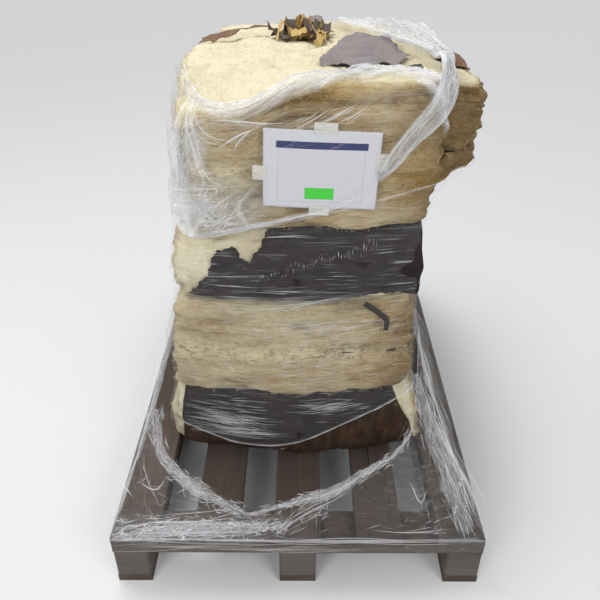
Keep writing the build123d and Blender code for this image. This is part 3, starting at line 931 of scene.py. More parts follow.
def torn(net, top, foot):
    """Which points of a facing are left after tearing, with the edge's own points moved onto the tear."""
    kept = np.ones(net.shape[:2], bool)
    along = net[:, 0] * (1, 0, 0)
    ragged = 0.005 * swing(along, (170, 1, 1), 4) + 0.004 * swing(along, (60, 1, 1), 5)
    for row in range(net.shape[0]):
        line = net[row]
        fold = int(np.argmin(line[:, 1]))
        x = line[fold, 0]
        for limit, way in ((lookup(x, top) + ragged[row], 1), (lookup(x, foot) + 0.6 * ragged[row], -1)):
            beyond = (line[:, 2] - limit) * way
            upward = range(max(1, fold - TEAR_START), len(line))
            downward = range(min(len(line) - 2, fold + TEAR_START), -1, -1)
            over = [k for k in (upward if way > 0 else downward) if beyond[k] > 0 and line[k, 1] < TEAR_DEPTH]
            if not over:
                continue
            k = over[0]
            last = k - way
            if beyond[last] < 0:
                share = beyond[last] / (beyond[last] - beyond[k])
                net[row, k] = line[last] * (1 - share) + line[k] * share
            kept[row, slice(k + 1, None) if way > 0 else slice(None, k)] = False
    return kept


class LOAD_OT_facings(bpy.types.Operator):
    """Builds the dark facing papers, outside the folds and inside them"""

    bl_idname = "load.facings"
    bl_label = "Build Facings"

    def lay(self, index, net, faces, bare, paper, thickness):
        """Makes one batt's facing as a piece."""
        mesh = make_mesh(f"facing_paper_{index + 1}", net, faces, {"paper_bare": bare})
        return make_piece(mesh, paper, [f"facing_{index + 1}"], thickness, loose_off=True)

    def execute(self, context):
        spacing = context.scene.batt_sizes.spacing
        paper = facing_finish()
        for index in (0, 2):
            sheet, away = facing_net(index, spacing, 0.005)
            wrinkle = 0.0016 * ridge(sheet, (10, 14, 26), 41) ** 3 + 0.0014 * swing(sheet, (30, 20, 60), 43)
            if index == 2:
                wrinkle = wrinkle + 0.0026 * ridge(sheet, (12, 16, 62), 47) ** 3
                rucked = 0.004 * smooth_step(0.64, 0.57, sheet[..., 2])
                wrinkle = wrinkle + rucked * ridge(sheet, (16, 10, 34), 49) ** 2
            else:
                below = smooth_step(0.24, 0.20, sheet[..., 2])
                wrinkle = wrinkle + 0.0022 * below * ridge(sheet, (70, 6, 8), 53) ** 2
                lap = smooth_step(-0.007, -0.004, sheet[..., 0])
                wrinkle = wrinkle + 0.0024 * lap - 0.0012 * np.exp(-(((sheet[..., 0] + 0.009) / 0.004) ** 2))
            sheet = sheet + away * (0.0034 + wrinkle)[..., None]
            if index == 2:
                sheet[..., 0] += 0.014 * smooth_step(0.17, 0.238, sheet[..., 0])
            else:
                right = lookup(sheet[..., 2], [(0.15, 0.281), (0.24, 0.270), (0.30, 0.246), (0.34, 0.236)])
                over = smooth_step(0.19, 0.281, sheet[..., 0])
                sheet[..., 0] = sheet[..., 0] + over * (right - 0.281)
            kept = np.ones(sheet.shape[:2], bool)
            bare = np.zeros(sheet.shape[:2])
            if index == 2:
                kept = torn(sheet, TORN_TOP, TORN_FOOT)
            else:
                bare = smooth_step(0.004, -0.006, sheet[..., 2] - lookup(sheet[..., 0], FILM_FOOT))
            faces = grid_faces(*sheet.shape[:2])
            faces = faces[kept.ravel()[faces].all(axis=1)]
            piece = self.lay(index, sheet, faces, bare, paper, 0.0009)
        for index in (1, 3):
            low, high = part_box(f"batt_{index + 1}")
            seam = low[2] + SEAM_SHARE[index] * (high[2] - low[2])
            across = np.linspace(-0.215, 0.215, 110)
            back = np.linspace(0, 1, 24) ** 1.6
            ragged = 0.009 + 0.008 * swing(place_at(across, 0.0), (60, 1, 1), 51 + index)
            start = STACK_FRONT + FRONT_BOW * (across / BOW_HALF_WIDTH) ** 2 + ragged
            y = start[:, None] + (0.40 - start[:, None]) * back[None, :]
            x = np.broadcast_to(across[:, None], y.shape)
            z = seam + 0.005 * swing(place_at(x, y), (14, 14, 1), 57) * smooth_step(0.3, -0.3, y)
            z = z - TOP_FALL * SEAM_SHARE[3] * (y - STACK_FRONT) / BATT_DEPTH if index == 3 else z
            net = np.stack([x, y, z], axis=-1)
            piece = self.lay(index, net, grid_faces(*net.shape[:2]), np.zeros(net.shape[:2]), paper, 0.0012)
        return {"FINISHED"}


# Stretch film
def film_finish():
    """Clear stretch film: nearly unseen where smooth; its white stretch lines, creases, crinkles and glints
    are painted highlights, and its rolled edges and bunches are white from their own layers and from painted
    highlights.
    """
    sizes = bpy.context.scene.film_sizes
    finish = Finish("Stretch Film", Roughness=0.14)
    space = finish.place("film_space")
    crumple = finish.level("film_crumple")
    edge = finish.level("film_edge")
    streak_highlight_share = finish.level("film_streak")
    fine = finish.noise(space, (8, 420, 1), 2.0, 0.5, 0.1).step(0.60, 0.68)
    broad = finish.noise(space, (4, 150, 1), 2.0, 0.5, 0.3).step(0.61, 0.70)
    where = finish.noise(space, (13, 17, 1), 1.0, 0.6).step(0.47, 0.62)
    coarse = finish.stretch(space, (22, 22, 1))
    warp = finish.node("ShaderNodeTexNoise", {}, {"Vector": coarse, "Detail": 1.0}, "Color")
    longer = finish.stretch(space, (24, 62, 1))
    bent = finish.node("ShaderNodeVectorMath", {"operation": "ADD"}, {0: longer, 1: warp})
    crinkle = 1 - finish.cells(bent, (1, 1, 1)).step(0.01, 0.07)
    glints = finish.noise(space, (42, 75, 1), 2.0, 0.7).step(0.53, 0.62)
    # Painted highlights: the streaks, crinkle lines and glints make the film white and opaque where lamps
    # would shine on its wrinkles, and the rim adds a painted reflection at grazing angles
    streaks = (fine * 0.9 + broad * 0.5) * where * streak_highlight_share
    crinkles = crinkle * (glints * 0.85 + 0.12) * crumple
    white = (streaks * sizes.streaks + crinkles + glints * crumple * 0.18 + edge).clamped()
    rim = finish.node("ShaderNodeLayerWeight", {}, {"Blend": 0.2}, "Facing")
    alpha = (white * 0.86 + sizes.haze + rim * 0.08 + crumple * 0.11).clamped()
    relief = broad * 0.5 + crinkle * crumple * 1.2
    return finish.finish(
        Base_Color=(0.93, 0.945, 0.975, 1), Alpha=alpha, Normal=finish.bump(relief, 0.0018, 0.8),
    )


class FilmCut:
    """One length of film under construction: nets of film, and the thin folds and ropes that lie on them."""

    def __init__(self, seed):
        self.points, self.faces, self.marks, self.start = [], [], [], 0
        self.random = np.random.default_rng(seed)

    # edge is how white the film is: partly its own rolled and bunched layers, partly painted highlight
    def add(self, net, space, crumple, edge, streak=0.3, closed=False):
        rows, columns = net.shape[:2]
        self.points.append(net.reshape(-1, 3))
        self.faces.append(grid_faces(rows, columns, closed) + self.start)
        levels = [np.broadcast_to(value, (rows, columns)).ravel() for value in (crumple, edge, streak)]
        self.marks.append(np.concatenate([space.reshape(-1, 3), np.stack(levels, axis=1)], axis=1))
        self.start += rows * columns

    def on_surface(self, surface, line, step):
        """Points along a line on a surface, with the way ahead and the way out of the surface at each."""
        line = rounded_line(line, 2)
        length = np.linalg.norm(np.diff(surface(*line.T), axis=0), axis=1).sum()
        p, q = resample(line, max(5, int(length / step))).T
        at = surface(p, q)
        tiny = 1e-3
        out = unit(np.cross(surface(p + tiny, q) - at, surface(p, q + tiny) - at))
        out = out * np.where(np.sum(out * (at - CORE), axis=1) < 0, -1, 1)[:, None]
        return at, unit(np.gradient(at, axis=0)), out, length

    def crease(self, surface, line, width, glow, lift=0.0015):
        """A thin fold along a line, with a painted highlight along its middle that is gone at both ends."""
        at, ahead, out, length = self.on_surface(surface, line, 0.004)
        side = np.cross(ahead, out)
        taper = np.sin(np.linspace(0.06, math.pi - 0.06, len(at))) ** 0.6
        reach = side * (taper * width / 2)[:, None]
        low = at + out * lift * 0.3
        net = np.stack([low - reach, at + out * lift, low + reach], axis=1)
        space = place_at(np.linspace(0, length, len(at))[:, None], np.array((-width, 0, width)))
        edge = taper[:, None] * np.array((0.0, glow, 0.0))
        self.add(net, space, 0.0, edge, 0.0)

    def stray(self, surface, line, widths, glows, lift=0.0015):
        """A thin fold along a line, with its width and the strength of its painted highlight drawn from two
        ranges.
        """
        self.crease(surface, line, self.random.uniform(*widths), self.random.uniform(*glows), lift)

    def bundle(self, surface, line, width, glow, count, spread):
        """A main fold with shorter, finer ones beside it."""
        self.crease(surface, line, width, glow)
        line = resample(rounded_line(line, 2), 40)
        for _ in range(count):
            first, last = sorted(self.random.uniform(0, 40, 2).astype(int))
            if last - first < 6:
                continue
            shift = self.random.normal(0, spread, 2)
            tilt = self.random.normal(0, spread * 0.7, 2)
            part = line[first:last] + shift + np.linspace(-1, 1, last - first)[:, None] * tilt
            finer, dimmer = self.random.uniform(0.3, 0.8), self.random.uniform(0.3, 1.0)
            self.crease(surface, part[::4], width * finer, glow * dimmer)

    def scatter(self, surface, middle, reach, heading, spread, lengths, count, width=0.0014, glow=0.7):
        """Short straight folds strewn over an oval, all with about the same heading."""
        for _ in range(count):
            start = np.array(middle) + np.array(reach) * self.random.normal(0, 0.5, 2)
            angle = math.radians(heading + self.random.normal(0, spread))
            span = self.random.uniform(*lengths) / 2
            way = np.array((math.cos(angle), math.sin(angle))) * span
            bend = np.array((-way[1], way[0])) * self.random.normal(0, 0.06)
            wider, dimmer = self.random.uniform(0.5, 1.3), self.random.uniform(0.35, 1.0)
            self.crease(surface, [start - way, start + bend, start + way], width * wider, glow * dimmer)

    def bundle_all(self, surface, placings):
        for placing in placings:
            self.bundle(surface, *placing)

    def scatter_all(self, surface, placings):
        for placing in placings:
            self.scatter(surface, *placing)

    def ruffle(self, surface, line, width, seed, count, haze, lift, spread, lengths=(0.006, 0.034)):
        """Film gathered into a crumpled strip along a line, white from its layers and from painted
        highlights, with short highlighted folds all over it.
        """
        at, ahead, out, length = self.on_surface(surface, line, 0.003)
        side = np.cross(ahead, out)
        across = np.linspace(-1, 1, 11)
        along = np.linspace(0, length, len(at))
        place = place_at(along[:, None], across * width / 2)
        ends = np.sin(np.linspace(0.1, math.pi - 0.1, len(at))) ** 0.5
        reach = width / 2 * ends * (0.65 + 0.7 * noise(place[:, 0] * (28, 0, 0), seed))
        rise = lift * (1 - across ** 2)[None, :] * (0.3 + ridge(place, (60, 130, 1), seed + 1) ** 2
                                                    + 0.5 * swing(place, (150, 220, 1), seed + 2))
        sideways = side[:, None] * (reach[:, None] * across[None, :])[..., None]
        net = at[:, None] + sideways + out[:, None] * rise[..., None]
        glow = haze * (0.5 + noise(place * (45, 160, 1), seed + 3))
        glow = glow * (1 - 0.7 * across[None, :] ** 4) * ends[:, None]
        self.add(net, place, 0.5, glow, 0.6)
        path = resample(rounded_line(line, 2), 80)
        tangent = unit(np.gradient(path, axis=0))
        for _ in range(count):
            spot = self.random.integers(2, 78)
            x, y = tangent[spot]
            beside = np.array((-y, x)) * np.clip(self.random.normal(0, 0.30), -0.6, 0.6) * width
            turn = math.radians(self.random.normal(0, spread))
            cosine, sine = math.cos(turn), math.sin(turn)
            way = np.array((cosine * x - sine * y, sine * x + cosine * y)) * self.random.uniform(*lengths) / 2
            middle = path[spot] + beside
            self.stray(surface, [middle - way, middle, middle + way], (0.0008, 0.0024), (0.3, 1.0), lift)

    @staticmethod
    def over(net, lift=0.0):
        """A net of film as a surface over its share down and its share across, both from 0 to 1."""
        rows, columns = net.shape[:2]

        def surface(down, across):
            a = np.clip(down * (rows - 1), 0, rows - 1.001)
            b = np.clip(across * (columns - 1), 0, columns - 1.001)
            i, j = a.astype(int), b.astype(int)
            s, t = (a - i)[:, None], (b - j)[:, None]
            near = net[i, j] * (1 - t) + net[i, j + 1] * t
            far = net[i + 1, j] * (1 - t) + net[i + 1, j + 1] * t
            return near * (1 - s) + far * s + lift
        return surface

    def build(self, name, replaced, on):
        """Makes the piece."""
        marks = np.concatenate(self.marks)
        mesh = make_mesh(
            name, np.concatenate(self.points), np.concatenate(self.faces),
            {"film_space": marks[:, :3], "film_crumple": marks[:, 3], "film_edge": marks[:, 4],
             "film_streak": marks[:, 5]},
        )
        piece = make_piece(mesh, bpy.data.materials["Stretch Film"], replaced)


def hull_reach(points, centre, angles):
    """How far a tight band round some plan points stands from the centre, at each angle."""
    offset = points - centre
    turn = np.arctan2(offset[:, 1], offset[:, 0])
    bins = ((turn + np.pi) / (2 * np.pi) * 360).astype(int) % 360
    reach = np.hypot(*offset.T)
    best = {}
    for place in np.argsort(reach):
        best[bins[place]] = place
    ordered = sorted(offset[list(best.values())].tolist())

    def chain(line):
        kept = []
        for point in line:
            while len(kept) > 1:
                (ax, ay), (bx, by) = kept[-2], kept[-1]
                if (bx - ax) * (point[1] - ay) - (by - ay) * (point[0] - ax) > 0:
                    break
                kept.pop()
            kept.append(point)
        return kept[:-1]

    hull = np.array(chain(ordered) + chain(ordered[::-1]))
    sides = np.roll(hull, -1, axis=0) - hull
    normals = np.stack([sides[:, 1], -sides[:, 0]], axis=1)
    levels = np.sum(normals * hull, axis=1)
    heading = np.stack([np.cos(angles), np.sin(angles)], axis=1)
    facing = heading @ normals.T
    with np.errstate(divide="ignore", invalid="ignore"):
        hits = np.where(facing > 1e-9, levels[None, :] / facing, np.inf)
    return hits.min(axis=1)


@lru_cache(maxsize=None)
def taut_wall():
    """The tight film's distance from the stack's centre line, at each level and angle."""
    spacing = bpy.context.scene.batt_sizes.spacing
    surfaces = [wool_surface(index, spacing)["points"] for index in range(BATT_COUNT)]
    cloud = np.concatenate([surface.reshape(-1, 3) for surface in surfaces])
    levels = np.arange(0.150, 1.045, 0.008)
    angles = np.linspace(-np.pi, np.pi, 481)[:-1]
    wall = []
    for level in levels:
        near = cloud[np.abs(cloud[:, 2] - level) < 0.016]
        wall.append(hull_reach(near[:, :2], CENTRE, angles))
    wall = np.array(wall)
    for _ in range(6):
        eased = wall.copy()
        eased[1:-1] = np.maximum(wall[1:-1], (wall[:-2] + wall[2:]) / 2)
        wall = eased
    smooth = wall.copy()
    for _ in range(4):
        smooth[1:-1] = (smooth[:-2] + 2 * smooth[1:-1] + smooth[2:]) / 4
    return levels, angles, smooth


def wall_point(angle, height, out):
    """Points of the tight film at some angles and heights, moved out by a small distance."""
    levels, angles, wall = taut_wall()
    row = np.clip((height - levels[0]) / (levels[1] - levels[0]), 0, len(levels) - 1.001)
    column = ((angle - angles[0]) / (angles[1] - angles[0])) % len(angles)
    low, left = np.floor(row).astype(int), np.floor(column).astype(int) % len(angles)
    right = (left + 1) % len(angles)
    up, over = row - low, column - np.floor(column)
    reach = (
        wall[low, left] * (1 - up) * (1 - over) + wall[low + 1, left] * up * (1 - over)
        + wall[low, right] * (1 - up) * over + wall[low + 1, right] * up * over
    )
    reach = reach + out
    x, y = CENTRE[0] + reach * np.cos(angle), CENTRE[1] + reach * np.sin(angle)
    return np.stack([x, y, height + 0 * angle], axis=-1)


def front_wall(out):
    """The tight film's front as a surface over x and height."""
    return lambda x, z: wall_point(np.arctan2(STACK_FRONT - CENTRE[1], x), z, out)


def side_wall(out):
    """The tight film as a surface over the way round the stack and the height."""
    return lambda run, z: wall_point(run / WRAP_RADIUS, z, out)


def front_slope(lift):
    """The front skirt as a surface over x and height."""
    def surface(x, z):
        share = (z - DECK_TOP) / (SKIRT_TOP - DECK_TOP)
        y = -DECK_HALF_LENGTH + share * (DECK_HALF_LENGTH - SKIRT_HEAD)
        return np.stack([x, y - lift * 0.8, z + lift * 0.6], axis=-1)
    return surface


# The loose turn's lower edge and the torn valley in the front skirt, as x and height on the front
HOOD_EDGE = (
    (-0.239, 0.819), (-0.236, 0.778), (-0.225, 0.745), (-0.190, 0.740), (-0.082, 0.766), (-0.005, 0.789),
    (0.070, 0.806), (0.145, 0.866), (0.169, 0.878), (0.201, 0.916), (0.222, 0.970), (0.248, 1.010),
)
VALLEY = (
    (SKIRT_LEFT, SKIRT_TOP), (-0.306, 0.430), (-0.326, 0.345), (-0.292, 0.305), (-0.271, 0.277),
    (-0.228, 0.243), (-0.182, 0.223), (-0.143, 0.203), (-0.100, 0.190), (-0.048, 0.204), (0.026, 0.222),
    (0.079, 0.232), (0.126, 0.258), (0.179, 0.286), (0.210, 0.302), (0.244, 0.345), (0.252, 0.430),
    (SKIRT_RIGHT, SKIRT_TOP),
)


class LOAD_OT_film(bpy.types.Operator):
    """Builds the stretch film: tight turns, loose hood, the bunched strip over the top and the skirts"""

    bl_idname = "load.film"
    bl_label = "Wrap Film"

    def execute(self, context):
        film_finish()
        self.turns()
        self.hood()
        self.band()
        self.veil()
        self.front_skirt()
        self.other_skirts()
        return {"FINISHED"}

    def turns(self):
        """The tight turns round the three lower batts, with their slanting lower edge and painted highlights
        along their stretch lines.
        """
        rows, columns = 92, 420
        angle = np.linspace(-np.pi, np.pi, columns + 1)[:-1]
        ring = wall_point(angle, np.full(columns, 0.4), 0)
        edge = lookup(ring[:, 0], FILM_FOOT)
        top = lookup(ring[:, 0], [(-0.3, 0.765), (-0.05, 0.77), (0.12, 0.815), (0.3, 0.86)])
        share = np.linspace(0, 1, rows)[:, None]
        height = edge[None, :] + share * (top - edge)[None, :]
        angles = np.broadcast_to(angle, height.shape)
        space = place_at(angles * WRAP_RADIUS, height)
        ripple = 0.0012 * swing(space, (9, 160, 1), 61) + 0.0026 * ridge(space, (5, 30, 1), 63) ** 4
        net = wall_point(angles, height, 0.004 + np.abs(ripple))
        # Whiter at the rolled lower edge and at the top edge: the film's own rolled layers with a painted
        # highlight
        rim = 0.65 * smooth_step(0.007, 0.0, (height - edge)) + 0.35 * smooth_step(0.004, 0.0, (top - height))
        x, front = net[..., 0], smooth_step(-0.25, -0.32, net[..., 1])
        # Where the painted streak highlights are strongest
        dense = np.exp(-(((x + 0.17) / 0.11) ** 2 + ((height - 0.265) / 0.06) ** 2)) * front
        dense += np.exp(-(((x - 0.10) / 0.10) ** 2 + ((height - 0.300) / 0.05) ** 2)) * front
        dense += 0.6 * smooth_step(0.56, 0.62, height) * smooth_step(0.74, 0.66, height)
        cut = FilmCut(201)
        cut.add(net, space, 0.05, rim, np.clip(0.35 + dense, 0, 1.3), closed=True)
        face = front_wall(FOLD_GAP)
        cut.scatter_all(face, (
            ((-0.18, 0.262), (0.075, 0.036), -4, 4, (0.03, 0.11), 110),
            ((-0.14, 0.225), (0.10, 0.016), 3, 3, (0.05, 0.14), 40),
            ((0.08, 0.305), (0.06, 0.018), 5, 4, (0.02, 0.08), 60),
            ((0.0, 0.42), (0.20, 0.08), 4, 8, (0.015, 0.06), 130, 0.0012, 0.8),
            ((0.05, 0.53), (0.15, 0.035), 10, 8, (0.015, 0.07), 90, 0.0013, 0.9),
            ((-0.02, 0.60), (0.20, 0.03), 4, 4, (0.03, 0.12), 40, 0.0012, 0.55),
        ))
        # A row of short upright folds with painted glints, longer to the right
        for share in np.linspace(0, 1, 46):
            middle = (-0.09 + 0.245 * share, 0.648 + 0.078 * share)
            cut.scatter(face, middle, (0.001, 0.010), 87, 4, (0.005, 0.008 + 0.018 * share), 1, 0.0014, 1.0)
        for line, glow in (
            (((-0.221, 0.575), (-0.127, 0.572), (-0.065, 0.574), (-0.006, 0.583), (0.035, 0.592),
              (0.147, 0.616)), 0.7),
            (((-0.069, 0.738), (-0.02, 0.744), (0.023, 0.745)), 0.9),
            (((-0.200, 0.725), (-0.190, 0.695), (-0.177, 0.666)), 0.6),
            (((-0.24, 0.66), (-0.20, 0.648), (-0.15, 0.650), (-0.05, 0.660)), 0.5),
        ):
            cut.bundle(face, line, 0.0022, glow, 7, 0.004)
        around = side_wall(FOLD_GAP)
        for angle_middle, count in ((0.0, 60), (0.56, 70), (1.13, 60), (-1.0, 30)):
            cut.scatter(around, (angle_middle, 0.45), (0.20, 0.16), 2, 5, (0.03, 0.12), count, 0.0013, 0.5)
        cut.build("film_turns", ["film_wrap"],
                  ["wool_1", "wool_2", "wool_3"])

    def hood(self):
        """The loose turn over the front and left of the top batt, gathered towards the right front corner."""
        front = np.linspace(-0.232, 0.246, 110)
        lower = lookup(front, HOOD_EDGE)
        corner = np.arctan2(STACK_FRONT - CENTRE[1], front)
        beside = np.linspace(-np.pi - 0.55, corner[0], 80)[:-1]
        angle = np.concatenate([beside, corner])
        lower = np.concatenate([np.linspace(0.80, lower[0], 79), lower])
        top = np.concatenate([
            np.linspace(0.990, 0.972, 79),
            lookup(front, [(-0.23, 0.972), (-0.1, 0.972), (0.0, 0.990), (0.1, 1.016), (0.25, 1.024)]),
        ])
        share = np.linspace(0, 1, 64)[:, None]
        height = lower[None, :] + share * np.maximum(top - lower, 0.004)[None, :]
        angles = np.broadcast_to(angle, height.shape)
        space = place_at(angles * WRAP_RADIUS, height)
        net = wall_point(angles, height, 0.005)
        window = np.exp(-(((net[..., 0] + 0.115) / 0.055) ** 4 + ((height - 0.915) / 0.045) ** 4))
        loose = smooth_step(-0.05, -0.20, net[..., 0]) * (1 - 0.95 * window)
        pull = space * (1, 0.6, 1)
        fold = ridge(pull, (26, 9, 1), 71) ** 3 * (0.003 + 0.011 * loose)
        fold = fold + 0.003 * ridge(pull, (52, 30, 1), 73) ** 2
        net = wall_point(angles, height, 0.005 + fold)
        low_left = smooth_step(0.13, 0.02, height - lower) * smooth_step(-0.02, -0.14, net[..., 0])
        crumple = 0.10 * (1 - window) + 0.55 * loose + 0.5 * low_left
        fade = smooth_step(0.0, 0.05, top - height)
        # The lower edge, the crumpled loose film and its fold ridges are whitened with painted highlights
        cloud = noise(space * (38, 16, 1), 75) ** 1.5
        rim = smooth_step(0.006, 0.0, height - lower) * 0.5 + (0.10 * loose + 0.30 * low_left) * cloud * fade
        rim = rim + 0.45 * loose * fade * smooth_step(0.76, 0.97, ridge(pull, (26, 9, 1), 71))
        rim = rim + 0.40 * low_left * smooth_step(0.80, 0.98, ridge(pull @ TURN, (30, 30, 1), 77))
        cut = FilmCut(202)
        cut.add(net, space, np.clip(0.5 * crumple, 0, 1), np.clip(rim, 0, 0.85), 0.25 + 0.6 * loose)
        face = front_wall(HOOD_FOLD_GAP)
        cut.bundle_all(face, (
            (((-0.214, 1.000), (-0.212, 0.96), (-0.226, 0.879), (-0.232, 0.805), (-0.228, 0.757)),
             0.007, 0.8, 22, 0.008),
            (((-0.205, 1.000), (-0.196, 0.960), (-0.187, 0.930), (-0.183, 0.898), (-0.167, 0.850)),
             0.007, 0.7, 18, 0.009),
            (((-0.192, 0.990), (-0.170, 0.955), (-0.150, 0.940), (-0.110, 0.935)), 0.004, 0.6, 8, 0.006),
            (((-0.135, 0.922), (-0.107, 0.944), (-0.062, 0.962)), 0.003, 0.9, 4, 0.003),
            (((-0.110, 0.916), (-0.102, 0.935), (-0.075, 0.958)), 0.003, 0.9, 4, 0.003),
            (((-0.187, 0.935), (-0.169, 0.869), (-0.134, 0.846), (-0.112, 0.850)), 0.003, 0.7, 8, 0.006),
            (((-0.223, 0.845), (-0.181, 0.795), (-0.149, 0.768)), 0.003, 0.8, 10, 0.008),
            (((-0.205, 0.780), (-0.150, 0.810), (-0.100, 0.846)), 0.003, 0.7, 10, 0.008),
            (((-0.190, 0.756), (-0.110, 0.790), (-0.070, 0.815)), 0.003, 0.7, 10, 0.007),
            (((-0.155, 0.968), (-0.122, 0.970), (-0.082, 0.968), (-0.044, 0.966), (-0.013, 0.969)),
             0.004, 0.8, 10, 0.005),
            (((-0.02, 0.950), (0.030, 0.975), (0.060, 0.998)), 0.003, 0.8, 8, 0.006),
            (((0.02, 0.958), (0.070, 0.985), (0.105, 1.004)), 0.003, 0.8, 8, 0.006),
            (((0.06, 0.965), (0.110, 0.990), (0.125, 1.008)), 0.003, 0.7, 6, 0.006),
            (HOOD_EDGE[1:], 0.0035, 0.9, 10, 0.002),
        ))
        cut.ruffle(face, HOOD_EDGE[2:6], 0.011, 321, 40, 0.30, 0.003, 6, (0.02, 0.07))
        cut.scatter_all(face, (
            ((-0.17, 0.80), (0.05, 0.045), 35, 25, (0.02, 0.08), 110, 0.0018, 0.9),
            ((-0.16, 0.79), (0.05, 0.035), -55, 20, (0.02, 0.06), 80, 0.0018, 0.8),
            ((-0.215, 0.87), (0.014, 0.09), 88, 8, (0.03, 0.10), 90, 0.0022, 0.9),
            ((-0.195, 0.93), (0.020, 0.05), 60, 25, (0.02, 0.07), 50, 0.0020, 0.8),
            ((0.03, 0.93), (0.14, 0.04), 20, 20, (0.02, 0.06), 24, 0.0014, 0.5),
        ))
        beside = side_wall(0.010)
        cut.scatter(beside, (-1.16, 0.88), (0.10, 0.05), 60, 35, (0.02, 0.10), 70, 0.0018, 0.6)
        cut.build("film_loose_turn", ["film_hood"], ["wool_4"])

    def band(self):
        """The crumpled edge of the loose turn, lying back over the top's front edge."""
        line = resample(rounded_line([
            (-0.222, -0.185), (-0.196, -0.255), (-0.165, -0.300), (-0.120, -0.330), (0.0, -0.336),
            (0.060, -0.300), (0.117, -0.235), (0.170, -0.205), (0.225, -0.232), (0.264, -0.300),
        ]), 120)
        row_count, columns, run_length = 30, 120, 0.56
        reach_forward = [(0, 0.06), (0.3, 0.045), (0.55, 0.05), (0.75, 0.10), (1.0, 0.13)]
        rows = []
        for share in np.linspace(0, 1, row_count):
            row = []
            for place, (x, y) in enumerate(line):
                away = lookup(place / (columns - 1), reach_forward)
                front = y - share * away
                wide = STACK_FRONT + FRONT_BOW * (x / BOW_HALF_WIDTH) ** 2 - 0.006
                at, behind = max(front, wide), max(front, wide + 0.028)
                drop = max(0.0, wide - front)
                row.append((x, at, wool_top(x, behind) + 0.006 - 0.4 * (behind - at) - drop))
            rows.append(row)
        net = np.array(rows)
        for _ in range(4):
            net[1:-1, 1:-1] = (net[:-2, 1:-1] + net[2:, 1:-1] + net[1:-1, :-2] + net[1:-1, 2:]) / 4
        net = clear_of_wool(net, WOOL_GAP)
        run = np.broadcast_to(np.linspace(0, run_length, columns)[None, :], net.shape[:2])
        share = np.linspace(0, 1, row_count)[:, None] + 0 * run
        slant = place_at(run + 0.05 * share, share * 0.10 + run * 0.45)
        ruck = 0.006 * ridge(slant, (9, 55, 1), 81) ** 2 + 0.003 * ridge(slant, (14, 120, 1), 83) ** 2
        net[..., 2] += ruck * smooth_step(1.0, 0.6, share)
        near = smooth_step(0.0, run_length, run)
        # The band's whiteness: gathered film, with painted highlights along its folds and its front edge
        fold = smooth_step(0.70, 0.95, ridge(slant, (9, 55, 1), 81))
        haze = (0.07 + 0.30 * near) * (0.55 + 0.9 * noise(slant * (18, 60, 1), 85))
        haze = haze + 0.35 * fold * (0.4 + near)
        haze = haze * smooth_step(1.0, 0.7, share) + 0.5 * smooth_step(0.06, 0.0, share)
        cut = FilmCut(203)
        cut.add(net, slant, 0.10 + 0.2 * near, np.clip(haze, 0, 0.8), 1.0)
        surface = cut.over(net)
        cut.bundle(surface, [(0.04, 0.01), (0.06, 0.3), (0.03, 0.6), (0.05, 0.99)], 0.004, 0.8, 14, 0.03)
        # Short slanting folds with painted highlights
        for _ in range(150):
            low = cut.random.uniform(0.02, 0.90)
            lean = cut.random.uniform(0.05, 0.20)
            first, last = sorted(cut.random.uniform(0.05, 0.98, 2))
            if last - first <= 0.15:
                continue
            line = [(last, low), ((first + last) / 2, low + lean / 2), (first, min(low + lean, 0.995))]
            width, glow = cut.random.uniform(0.001, 0.0034), cut.random.uniform(0.3, 1.0)
            cut.crease(surface, line, width, glow * (0.5 + 0.5 * low))
        cut.build("film_top_edge", ["film_band"], ["wool_4"])

    def veil(self):
        """The strip from behind: wide at the top's rear, bunched at the right front corner, with its tail."""
        rows, columns = 200, 72
        path = resample(rounded_line([
            (0.188, 0.500, 0.995), (0.200, 0.340, 1.012), (0.218, 0.150, 1.026), (0.250, -0.080, 1.040),
            (0.270, -0.200, 1.046), (0.266, -0.300, 1.044), (0.256, -0.366, 1.028), (0.240, -0.380, 0.992),
            (0.208, -0.378, 0.955), (0.184, -0.378, 0.925), (0.168, -0.378, 0.898), (0.146, -0.374, 0.868),
        ]), rows)
        share = np.linspace(0, 1, rows)
        width = lookup(share, [
            (0, 0.228), (0.2, 0.205), (0.33, 0.165), (0.5, 0.092), (0.6, 0.052), (0.70, 0.036), (0.76, 0.031),
            (0.86, 0.040), (0.95, 0.030), (1.0, 0.012),
        ])
        pleats = lookup(share, [
            (0, 0.008), (0.3, 0.010), (0.5, 0.013), (0.65, 0.012), (0.75, 0.010), (1.0, 0.005),
        ])
        ahead = unit(np.gradient(path, axis=0))
        up = np.where((share < 0.68)[:, None], (0.0, 0, 1.0), (0.0, -1.0, 0))
        for _ in range(14):
            up[1:-1] = (up[:-2] + up[1:-1] + up[2:]) / 3
        side = unit(np.cross(ahead, up))
        up = np.cross(side, ahead)
        across = np.linspace(-1, 1, columns)
        wander = place_at(across * 3, share[:, None] * 5)
        phase = across[None, :] * 21 + 5 * swing(wander, (0.5, 0.7, 1), 91)
        wave = np.sin(phase) * (0.6 + 0.4 * swing(wander, (1, 2, 1), 93)) + 0.3 * swing(wander, (9, 5, 1), 94)
        net = (
            path[:, None, :] + side[:, None, :] * (across[None, :] * width[:, None] / 2)[..., None]
            + up[:, None, :] * (pleats[:, None] * (0.5 + wave * 0.6))[..., None]
        )
        rim = lookup(net[..., 1], [(-0.145, 0.40), (0.085, 0.36), (0.25, 0.30), (0.4, 0.225), (0.54, 0.19)])
        net[..., 2] -= 0.8 * np.maximum(0, net[..., 0] - rim) * smooth_step(-0.15, 0.05, net[..., 1])
        net[..., 2] -= 0.03 * smooth_step(0.38, 0.50, net[..., 1])
        net = clear_of_wool(net, WOOL_GAP)
        net[..., 2] = np.minimum(net[..., 2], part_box("film_twist")[1][2] + 0.010)
